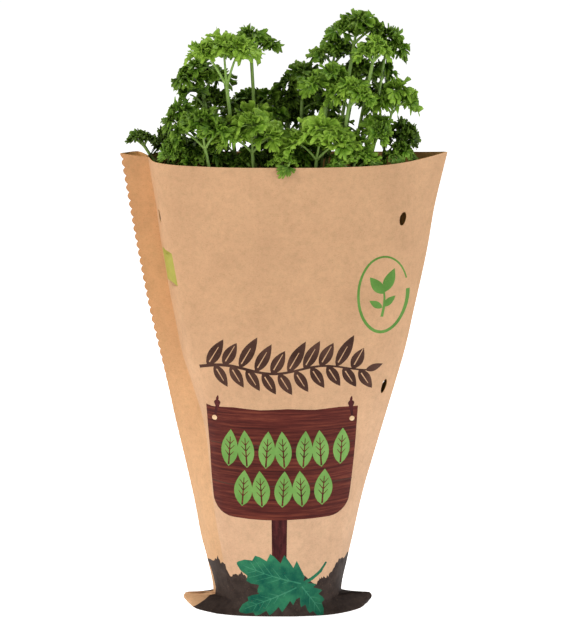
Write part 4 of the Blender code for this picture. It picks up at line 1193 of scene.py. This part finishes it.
def fans(rng, base, forward, normal, size, curl, tone=0.5):
    """Closed leaflets, all at once. base, forward and normal are n x 3; size and curl have n values."""
    n = len(base)
    j = np.arange(RAYS + 1)
    phase = j % PER_TOOTH
    reach = np.where(phase == 0, 0.79, np.where(phase == 2, 1.0, 0.98))
    reach = np.tile(reach, (n, 1)) * (1 + rng.normal(0, 0.03, (n, RAYS + 1)))
    tooth = np.minimum(j // PER_TOOTH, TEETH - 1)
    own = rng.uniform(0.88, 1.10, (n, TEETH))
    reach *= np.where(phase == 0, 1.0, own[:, tooth])
    for cut in DEEP_CUTS:
        reach[:, cut] *= rng.uniform(0.42, 0.62, n)
        reach[:, cut - 1] *= 0.90
        reach[:, cut + 1] *= 0.90
    reach[:, 0] = reach[:, -1] = 0.42
    spread = np.radians(rng.uniform(60, 92, n))[:, None]
    turn = -1 + 2 * j / RAYS
    envelope = 1 - 0.24 * np.abs(turn) ** 1.6
    reach = reach * envelope
    theta = spread * turn[None, :]
    gather = -0.14 * np.sin(2 * np.pi * j / PER_TOOTH) * (2 * np.pi / RAYS / 2)
    theta = theta + gather[None, :] * spread * 1.6
    rho = np.array(RINGS)
    far = rho[None, :, None] * reach[:, None, :]                    # n, rings, rays
    x = far * np.cos(theta)[:, None, :]
    y = far * np.sin(theta)[:, None, :]
    wave = rng.uniform(0, 2 * np.pi, (n, 1, 1))
    wave2 = rng.uniform(0, 2 * np.pi, (n, 1, 1))
    bend = rng.uniform(-1, 1, (n, TEETH))[:, tooth][:, None, :]
    z = (0.17 * curl[:, None, None] * far ** 1.7 * np.sin(2 * np.pi * j[None, None, :] / 8.0 + wave)
         + 0.10 * curl[:, None, None] * far ** 2 * np.sin(2 * np.pi * j[None, None, :] / 17.0 + wave2)
         + 0.42 * curl[:, None, None] * bend * np.maximum(far - 0.45, 0)
         + rng.uniform(0.10, 0.34, (n, 1, 1)) * np.abs(turn)[None, None, :] * far
         - rng.uniform(0.05, 0.32, (n, 1, 1)) * far ** 2)
    y = y * (1 - 0.10 * curl[:, None, None])
    side = np.cross(normal, forward)
    p = (base[:, None, None, :] + size[:, None, None, None] * (
        x[..., None] * forward[:, None, None, :] + y[..., None] * side[:, None, None, :]
        + z[..., None] * normal[:, None, None, :]))
    dr = np.gradient(p, axis=1)
    dt = np.gradient(p, axis=2)
    up = np.cross(dr, dt)
    up /= np.maximum(np.linalg.norm(up, axis=-1), 1e-9)[..., None]
    inner = np.zeros((len(RINGS), RAYS + 1, 1))
    inner[1:-1, 1:-1] = 1
    thick = LEAF_THICK / 2 * np.minimum(1.0, size / 6.0)[:, None, None, None]
    top = p + up * inner * thick
    low = (p - up * inner * thick)[:, 1:-1, 1:-1]
    verts = np.concatenate([top.reshape(n, -1, 3), low.reshape(n, -1, 3)], axis=1)
    vein = np.abs(phase - 2) / 2.0
    near = np.clip(far / 0.4, 0, 1)
    # colour attribute: red is the distance out along the leaflet, for the painted highlight; green the veins; blue the
    # tone, painted light and shade with each leaflet's random spread
    colour = np.stack([np.clip(far, 0, 1), np.broadcast_to(vein[None, None, :], far.shape) * near,
                       np.broadcast_to(np.clip(tone + rng.uniform(-0.26, 0.26, (n, 1, 1)), 0, 1), far.shape), np.ones_like(far)], axis=-1)
    colours = np.concatenate([colour.reshape(n, -1, 4), colour[:, 1:-1, 1:-1].reshape(n, -1, 4)], axis=1)
    flat = np.stack([(far * np.cos(theta)[:, None, :] + 0.25) / 1.45, (far * np.sin(theta)[:, None, :] + 1.15) / 2.3], axis=-1)
    return verts, colours, flat.reshape(n, -1, 2)


def tube_arrays(points, radii, sides, ribs=0.0):
    """A closed round tube: vertices, quads, cap triangles and the flat places of each face's corners."""
    points = np.asarray(points, float)
    radii = np.broadcast_to(np.asarray(radii, float), (len(points),))
    ahead = np.gradient(points, axis=0)
    ahead /= np.linalg.norm(ahead, axis=1)[:, None]
    verts = []
    angle = 2 * np.pi * np.arange(sides) / sides
    u = np.cross(ahead[0], (0.31, 0.95, 0.02))
    for p, d, r in zip(points, ahead, radii):
        u = u - d * (u @ d)
        u /= max(np.linalg.norm(u), 1e-9)
        v = np.cross(d, u)
        swell = r * (1 + ribs * np.cos(angle * (sides // 2)))
        verts.append(p + (u[None, :] * np.cos(angle)[:, None] + v[None, :] * np.sin(angle)[:, None]) * swell[:, None])
    verts = np.vstack(verts)
    n = len(points)
    quads, uv = [], []
    for i in range(n - 1):
        for k in range(sides):
            l = (k + 1) % sides
            quads.append((i * sides + k, i * sides + l, (i + 1) * sides + l, (i + 1) * sides + k))
            a, b = k / sides, (k + 1) / sides
            c, d = i / (n - 1), (i + 1) / (n - 1)
            uv.append(((a, c), (b, c), (b, d), (a, d)))
    first, last = len(verts), len(verts) + 1
    verts = np.vstack([verts, points[0] - ahead[0] * radii[0] * 0.4, points[-1] + ahead[-1] * radii[-1] * 0.5])
    tris, tri_uv = [], []
    for k in range(sides):
        l = (k + 1) % sides
        tris += [(l, k, first), ((n - 1) * sides + k, (n - 1) * sides + l, last)]
        tri_uv += [((0.5, 0.0), (0.51, 0.0), (0.5, 0.01)), ((0.5, 0.99), (0.51, 0.99), (0.5, 1.0))]
    return verts, np.array(quads), np.array(tris), np.array(uv, float), np.array(tri_uv, float)


def smooth_path(points, steps):
    """A curve through points, with steps pieces between neighbours."""
    points = np.asarray(points, float)
    out = []
    t = (np.arange(steps) / steps)[:, None]
    for i in range(len(points) - 1):
        out.append(catmull(points, i, t))
    return np.vstack(out + [points[-1:]])


def unit_rows(v):
    return v / np.maximum(np.linalg.norm(v, axis=-1), 1e-9)[..., None]


def bowed(a, b, forward, lift, steps):
    """A branch that leaves along forward and bends to its end."""
    a, b = np.asarray(a, float), np.asarray(b, float)
    far = np.linalg.norm(b - a)
    middle = (a + b) / 2 + np.asarray(forward) * far * lift
    t = np.linspace(0, 1, steps + 1)[:, None]
    return (1 - t) ** 2 * a + 2 * t * (1 - t) * middle + t ** 2 * b


# where a leaflet's foot is, as a polar angle from the tuft's axis and a distance; its size (both times
# the tuft's size); how many; how curly; how far it turns from standing out to lying along the tuft's dome
TIERS = (
    (8, 0.04, 0.48, 2, 1.1, 26),
    (34, 0.22, 0.55, 4, 1.1, 32),
    (58, 0.34, 0.62, 5, 1.1, 32),
    (82, 0.38, 0.60, 5, 1.0, 24),
    (30, 0.22, 0.36, 3, 1.3, -8),
)
SIDE_TIERS = ((24, 0.16, 0.62, 3, 1.1, 26), (64, 0.30, 0.64, 4, 1.1, 32))


def tuft(rng, tip, outward, size, grow=1.0, tiers=TIERS):
    """Leaflets of one pad and the fine stalks they stand on."""
    u = unit(np.cross(outward, (0.3, 1.0, 0.2)))
    v = np.cross(outward, u)
    bases, forwards, normals, sizes, curls, stalks = [], [], [], [], [], []
    for polar, distance, share, count, curl, tilt in tiers:
        start = rng.uniform(0, 2 * math.pi)
        for k in range(count):
            a = start + 2 * math.pi * (k + rng.uniform(-0.28, 0.28)) / count
            p = math.radians(polar + rng.uniform(-13, 13))
            around = u * math.cos(a) + v * math.sin(a)
            d = outward * math.cos(p) + around * math.sin(p)
            base = tip + (d - outward * 0.32 * math.cos(p)) * (distance * size * grow * rng.uniform(0.75, 1.2))
            out = p + math.radians(tilt + rng.uniform(-14, 18))
            f = outward * math.cos(out) + around * math.sin(out)
            f = unit(f + rng.normal(0, 0.10, 3))
            face = outward * math.sin(out) - around * math.cos(out)      # the upper face looks up and inwards
            roll = rng.normal(0, 0.50)
            side = np.cross(face, f)
            nrm = face * math.cos(roll) + side * math.sin(roll)
            nrm = unit(nrm - f * (nrm @ f))
            bases.append(base)
            forwards.append(f)
            normals.append(nrm)
            sizes.append(size * grow * share * rng.uniform(0.82, 1.16))
            curls.append(curl * rng.uniform(0.75, 1.3))
            if distance > 0.18:
                stalks.append((tip, base + f * sizes[-1] * 0.12, outward))
    return (np.array(bases), np.array(forwards), np.array(normals), np.array(sizes), np.array(curls)), stalks


RIM_FROND = 27                                # the frond whose leaflets hang over the front edge
SPRIG = 18
# painted light: these front and top fronds get a raised tone so that they read lighter
PAINTED_LIGHT_FRONDS = {0: 0.30, 1: 0.15, 2: 0.10, 3: 0.20, 4: 0.15, 8: 0.08, 10: 0.30, 11: 0.20, 20: 0.54, 25: 0.54, 27: 0.46}   # paler fronds


def keep_in_sleeve(verts):
    """Leaf parts under the mouth stay between the two sheets; just over it they may lean out."""
    out = verts.copy()
    low = out[:, 2] < MOUTH_MID_Z + 9.0
    if not low.any():
        return out
    p = out[low]
    mouth = MOUTH_MID_Z + MOUTH_RISE * np.minimum(np.abs(p[:, 0]) / 110.0, 1.0) ** 4
    hold = np.clip((mouth + 7.0 - p[:, 2]) / 5.0, 0, 1)
    levels = np.clip(p[:, 2], 60.0, MOUTH)
    row = np.clip(np.rint(levels).astype(int), 0, 306)
    index = np.searchsorted(LEVELS, row)
    for back, sign in ((False, 1), (True, -1)):
        limit = np.empty(len(p))
        for i in np.unique(index):
            chosen = index == i
            table = TABLES[back][i]
            x = np.clip(p[chosen, 0], table[0, 0] + 2.0, table[-1, 0] - 2.0)
            limit[chosen] = np.interp(x, table[:, 0], table[:, 1])
            inside_x = np.clip(p[chosen, 0], table[0, 0] + 3.0, table[-1, 0] - 4.0)
            p[chosen, 0] += (inside_x - p[chosen, 0]) * hold[chosen]
        limit = limit + sign * 2.5
        over = (limit - p[:, 1]) * sign
        p[:, 1] += np.where(over > 0, sign * over * hold, 0)
    out[low] = p
    return out


def drawn_in(points, index):
    """Over the mouth the outer leaves stand a little nearer to the middle; the small sprig at the left stays."""
    out = points.copy()
    rise = np.clip((out[:, 2] - 292.0) / 14.0, 0, 1)
    over = np.maximum(out[:, 0] - 66.0, 0)
    out[:, 0] -= over * 0.30 * rise
    if index == SPRIG:
        out[:, 0] -= 6.5 * rise
    else:
        over = np.maximum(-64.0 - out[:, 0], 0)
        out[:, 0] += over * 0.42 * rise
    out[:, 1] -= np.maximum(out[:, 1] - 44.0, 0) * 0.50
    out[:, 1] += np.maximum(-46.0 - out[:, 1], 0) * 0.40
    return out


def front_y(x, z):
    """Where the front sheet is at x, z."""
    rows = np.searchsorted(LEVELS, np.clip(level_of(z, x), 0, MOUTH - 0.01))
    return np.array([np.interp(a, TABLES[False][r][:, 0], TABLES[False][r][:, 1]) for a, r in zip(x, rows)])


def rim_leaf(rng, start):
    """Two leaflets of the frontmost frond hang over the mouth's front edge."""
    x = np.array([6.0, 7.0])
    y = front_y(x, np.full(2, 300.5))
    base = np.column_stack([x, y - 1.3, (302.2, 301.6)])
    forward = unit_rows(np.array([(-0.62, -0.20, -0.76), (-0.10, -0.20, -0.97)]))
    face = np.array([(-0.1, -1.0, 0.3), (0.25, -1.0, 0.2)])
    face = unit_rows(face - forward * (face * forward).sum(axis=1)[:, None])
    v, c, flat = fans(rng, base, forward, face, np.array([9.0, 6.0]), np.array([0.7, 0.7]), 0.36)
    p = v.reshape(-1, 3)
    low = p[:, 2] < 302.0
    p[low, 1] = np.minimum(p[low, 1], front_y(p[low, 0], np.minimum(p[low, 2], 301.0)) - 0.7)
    stalk = smooth_path([start, (7.4, y[0] + 3.2, 304.6), (7.2, y[0] + 0.3, 303.9), (6.6, y[0] - 1.2, 302.2)], 4)
    return (p.reshape(v.shape), c, flat), stalk


def frond_object(index, shape):
    rng = np.random.default_rng(4100 + 17 * index)
    node, stem, branches = shape
    verts, quads, tris, quad_uv, tri_uv, colours = [], [], [], [], [], []
    quad_kind, tri_kind = [], []
    count = 0
    tubes = []
    foot = np.array((stem[0][0], stem[0][1], stem[0][2] - 7.0))
    path = smooth_path([foot] + list(stem), 4)
    t = np.linspace(0, 1, len(path))
    sway = 0.5 * np.sin(np.pi * t)[:, None] * rng.normal(0, 1.0, 3)[None, :] * (1, 1, 0)
    tubes.append((path + sway * np.clip(1 - t, 0, 1)[:, None] * 1.0, STEM_R0 + (STEM_R1 - STEM_R0) * t, 10, 0.05))
    forward = unit(stem[-1] - stem[-2])
    made = []
    for tip, outward, size in branches:
        tip = tip - outward * (0.10 * size)
        line = bowed(node - forward * 0.5, tip, forward, 0.16, 7)
        tubes.append((line, np.linspace(BRANCH_R, 0.62, 8), 8, 0.0))
        group, stalks = tuft(rng, tip, outward, size, 0.98)
        made.append(group)
        for a, b, way in stalks:
            tubes.append((bowed(a, b, way, 0.2, 3), np.linspace(0.48, 0.32, 4), 5, 0.0))
    # small leaves on side shoots under the crown
    for k in range(0 if node[2] < 316 else 1 if node[2] < 340 else 2):
        at = int(len(path) * rng.uniform(0.80, 0.95))
        a = rng.uniform(0, 2 * math.pi)
        way = unit(np.array((math.cos(a), 0.8 * math.sin(a), rng.uniform(0.35, 0.9))))
        width = branches[0][2] / 0.46
        tip = path[at] + way * width * rng.uniform(0.34, 0.55)
        if abs(tip[1]) > 38 or tip[0] < -72:
            continue
        tubes.append((bowed(path[at], tip, forward, 0.25, 5), np.linspace(0.8, 0.5, 6), 6, 0.0))
        group, stalks = tuft(rng, tip, unit(way * 0.7 + np.array((0, 0, 0.8))), width * 0.44, 1.0, SIDE_TIERS)
        made.append(group)
    over = None
    if index == RIM_FROND:
        over, stalk = rim_leaf(rng, branches[0][0])
        tubes.append((stalk, np.linspace(0.6, 0.45, len(stalk)), 6, 0.0))
    total = len(tubes)
    for k, (points, radii, sides, ribs) in enumerate(tubes):
        v, q, tr, uv, tuv = tube_arrays(points, radii, sides, ribs)
        v = drawn_in(v, index)
        place = np.array([0.004 + 0.992 * k / total, 0.872])
        span = np.array([0.85 * 0.992 / total, 0.122])
        verts.append(v)
        quads.append(q + count)
        tris.append(tr + count)
        quad_uv.append(uv * span + place)
        tri_uv.append(tuv * span + place)
        quad_kind.append(np.ones(len(q), int))
        tri_kind.append(np.ones(len(tr), int))
        colours.append(np.tile((0.2, 1.0, 0.5, 1.0), (len(v), 1)))
        count += len(v)
    groups = [np.concatenate([g[i] for g in made]) for i in range(5)]
    middle = np.mean([tip for tip, _, _ in branches], axis=0)
    # painted light and shade: a frond to the front or high up gets a lighter tone, one behind or low down a darker one,
    # plus a little random spread
    high, low = (float(np.clip(v, 0, 1)) for v in ((middle[2] - 335.0) / 40.0, (324.0 - middle[2]) / 20.0))
    tone = 0.19 - middle[1] / 90.0 + 0.24 * high - 0.17 * low + PAINTED_LIGHT_FRONDS.get(index, 0.0) + rng.normal(0, 0.05)
    v, c, flat = fans(rng, *groups, float(np.clip(tone, 0.06, 0.92)))
    v = keep_in_sleeve(drawn_in(v.reshape(-1, 3), index)).reshape(v.shape)
    if over is not None:
        v, c, flat = (np.concatenate(pair) for pair in zip((v, c, flat), over))
    n = len(v)
    cells = int(math.ceil(math.sqrt(n)))
    verts.append(v.reshape(-1, 3))
    colours.append(c.reshape(-1, 4))
    starts = count + FAN_VERTS * np.arange(n)
    for part, (pattern, grid, shift) in enumerate(((TOP_QUADS, TOP_GRID, 0.0), (LOW_QUADS, LOW_GRID, 0.5))):
        quads.append((pattern[None] + starts[:, None, None]).reshape(-1, 4))
        source = TOP_QUADS if part == 0 else TOP_QUADS[:, ::-1]
        corner = flat[:, source]                                    # n, quads, 4, 2
        cx = (np.arange(n) % cells)[:, None, None]
        cy = (np.arange(n) // cells)[:, None, None]
        uu = (cx + 0.03 + shift + corner[..., 0] * 0.43) / cells
        vv = (cy + 0.03 + corner[..., 1] * 0.94) / cells * 0.865
        quad_uv.append(np.stack([uu, vv], axis=-1).reshape(-1, 4, 2))
        quad_kind.append(np.zeros(len(pattern) * n, int))
    quads, tris = np.vstack(quads), np.vstack(tris)
    uv = np.concatenate([np.concatenate(quad_uv).reshape(-1, 2), np.concatenate(tri_uv).reshape(-1, 2)])
    kinds = np.concatenate(quad_kind + tri_kind)
    name = f"parsley_frond_{index + 1:02d}"
    obj = mesh_object(name + "_leaves", np.vstack(verts), [quads, tris], kinds, [LEAF, STEM], uv, True, np.vstack(colours))
    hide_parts(name)
    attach(obj, "root")
    return obj


def make_soil_bed():
    """Peat with lumps and grains, a little lower at the pot's wall."""
    rng = np.random.default_rng(77)
    low = POT_Z + 0.8 + POT_FLOOR + 0.3

    def wall(z):
        return POT_FOOT_R + (POT_RIM_R - 2.2 - POT_FOOT_R) * (z - POT_Z) / POT_H - POT_WALL - 0.5

    rings, turns = 26, 84
    verts, quads = [], []
    angle = 2 * np.pi * np.arange(turns) / turns
    for i in range(1, rings + 1):
        r = (wall(SOIL_TOP - 2) - 0.6) * i / rings
        x, y = r * np.cos(angle), r * np.sin(angle)
        p = np.column_stack([x, y, np.zeros(turns)])
        z = SOIL_TOP - 1.4 + 1.1 * noises(p, 14.0, 3) + 0.9 * noises(p, 5.5, 4) + 0.5 * noises(p, 2.4, 6)
        z -= 2.2 * np.clip((r - 36.0) / 8.0, 0, 1)
        verts.append(np.column_stack([x, y, z]))
    for z in (SOIL_TOP - 10, SOIL_TOP - 30, low + 20, low):
        r = wall(z)
        verts.append(np.column_stack([r * np.cos(angle), r * np.sin(angle), np.full(turns, z)]))
    loops = len(verts)
    verts = list(np.vstack(verts))
    for i in range(loops - 1):
        for k in range(turns):
            l = (k + 1) % turns
            quads.append((i * turns + k, (i + 1) * turns + k, (i + 1) * turns + l, i * turns + l))
    top, base = len(verts), len(verts) + 1
    verts += [np.array((0, 0, SOIL_TOP - 1.0)), np.array((0, 0, low))]
    tris = [(top, k, (k + 1) % turns) for k in range(turns)]
    tris += [(base, (loops - 1) * turns + (k + 1) % turns, (loops - 1) * turns + k) for k in range(turns)]
    verts = np.array(verts)
    # loose grains
    solid = [(0, 0, 1), (0.894, 0, 0.447), (0.276, 0.851, 0.447), (-0.724, 0.526, 0.447), (-0.724, -0.526, 0.447),
             (0.276, -0.851, 0.447), (0.724, 0.526, -0.447), (-0.276, 0.851, -0.447), (-0.894, 0, -0.447),
             (-0.276, -0.851, -0.447), (0.724, -0.526, -0.447), (0, 0, -1)]
    sides = [(0, 1, 2), (0, 2, 3), (0, 3, 4), (0, 4, 5), (0, 5, 1), (1, 6, 2), (2, 7, 3), (3, 8, 4), (4, 9, 5), (5, 10, 1),
             (2, 6, 7), (3, 7, 8), (4, 8, 9), (5, 9, 10), (1, 10, 6), (11, 7, 6), (11, 8, 7), (11, 9, 8), (11, 10, 9), (11, 6, 10)]
    solid, sides = np.array(solid), np.array(sides)
    more_v, more_t = [verts], [np.array(tris)]
    count = len(verts)
    for _ in range(260):
        r, a = 41.0 * math.sqrt(rng.uniform()), rng.uniform(0, 2 * math.pi)
        size = rng.uniform(0.5, 1.5)
        grain = solid * rng.uniform(0.7, 1.2, (12, 3)) * size
        x, y = r * math.cos(a), r * math.sin(a)
        z = SOIL_TOP - 1.2 + 1.1 * noises([(x, y, 0)], 14.0, 3)[0] + 0.9 * noises([(x, y, 0)], 5.5, 4)[0] - 2.2 * max(0, (r - 36) / 8)
        more_v.append(grain + (x, y, z))
        more_t.append(sides + count)
        count += 12
    bed = mesh_object("potting_soil_bed", np.vstack(more_v), [np.array(quads), np.vstack(more_t)], None, [SOIL])
    bed.data.set_sharp_from_angle(angle=math.radians(50))
    return bed


# ------------------------------------------------------------------ putting it together
sleeve = make_sheet()
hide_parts("paper_sleeve")
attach(sleeve, "root")
bottom = make_sleeve_base()
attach(bottom, "root")

soil = make_soil_bed()
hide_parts("potting_soil")
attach(soil, "root")

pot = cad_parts["nursery_pot"]
pot.data.materials.clear()
pot.data.materials.append(PLASTIC)

for number, frond in enumerate(place_fronds()):
    frond_object(number, frond)

# ------------------------------------------------------------------ floor, light and camera
mesh = bpy.data.meshes.new("floor")
mesh.from_pydata([(-12, -12, 0), (12, -12, 0), (12, 12, 0), (-12, 12, 0)], [], [(0, 1, 2, 3)])
floor = bpy.data.objects.new("floor", mesh)
bpy.context.scene.collection.objects.link(floor)
pale = Nodes("floor_pale", 0.9, 0.1)
cloud = pale.noise(pale.coords(), 3.0, 2.0, 0.5)
pale.colour(pale.ramp(cloud, [(0.2, (0.985, 0.985, 0.985, 1)), (0.8, (0.995, 0.995, 0.995, 1))]))
pale.shader.inputs["Emission Color"].default_value = (1, 1, 1, 1)
pale.shader.inputs["Emission Strength"].default_value = 0.64
mesh.materials.append(pale.material)

world = bpy.data.worlds.new("soft_white")
bpy.context.scene.world = world
world.use_nodes = True
world.node_tree.nodes["Background"].inputs["Color"].default_value = (1.0, 1.0, 1.0, 1)
world.node_tree.nodes["Background"].inputs["Strength"].default_value = 0.36


def lamp(name, place, aim, size, power, colour=(1, 1, 1)):
    data = bpy.data.lights.new(name, "AREA")
    data.shape = "RECTANGLE"
    data.size, data.size_y = size
    data.energy = power
    data.color = colour
    obj = bpy.data.objects.new(name, data)
    bpy.context.scene.collection.objects.link(obj)
    obj.location = place
    obj.rotation_mode = "QUATERNION"
    obj.rotation_quaternion = (Vector(aim) - Vector(place)).to_track_quat("-Z", "Y")
    return obj


lamp("key", (-2.3, -1.15, 1.4), (0, 0, 0.2), (1.2, 1.2), 38.0, (1.0, 0.99, 0.97))
lamp("fill", (1.9, -1.4, 0.7), (0, 0, 0.14), (1.2, 0.8), 20.0, (0.88, 0.95, 1.0))
lamp("top", (0.1, 0.5, 2.2), (0, 0, 0.25), (1.2, 1.0), 24.0)

bpy.context.scene.view_settings.view_transform = "Standard"

camera_data = bpy.data.cameras.new("camera")
camera_data.lens = 240
camera_data.sensor_width = 36
camera_data.clip_start, camera_data.clip_end = 0.05, 60
camera = bpy.data.objects.new("camera", camera_data)
bpy.context.scene.collection.objects.link(camera)
tilt = math.radians(9.5)
target = Vector((0.00433, 0.0, 0.1963))
camera.location = target + Vector((0, -math.cos(tilt), math.sin(tilt))) * 2.8
camera.rotation_mode = "QUATERNION"
camera.rotation_quaternion = (target - camera.location).to_track_quat("-Z", "Y")
bpy.context.scene.camera = camera

bpy.context.view_layer.update()
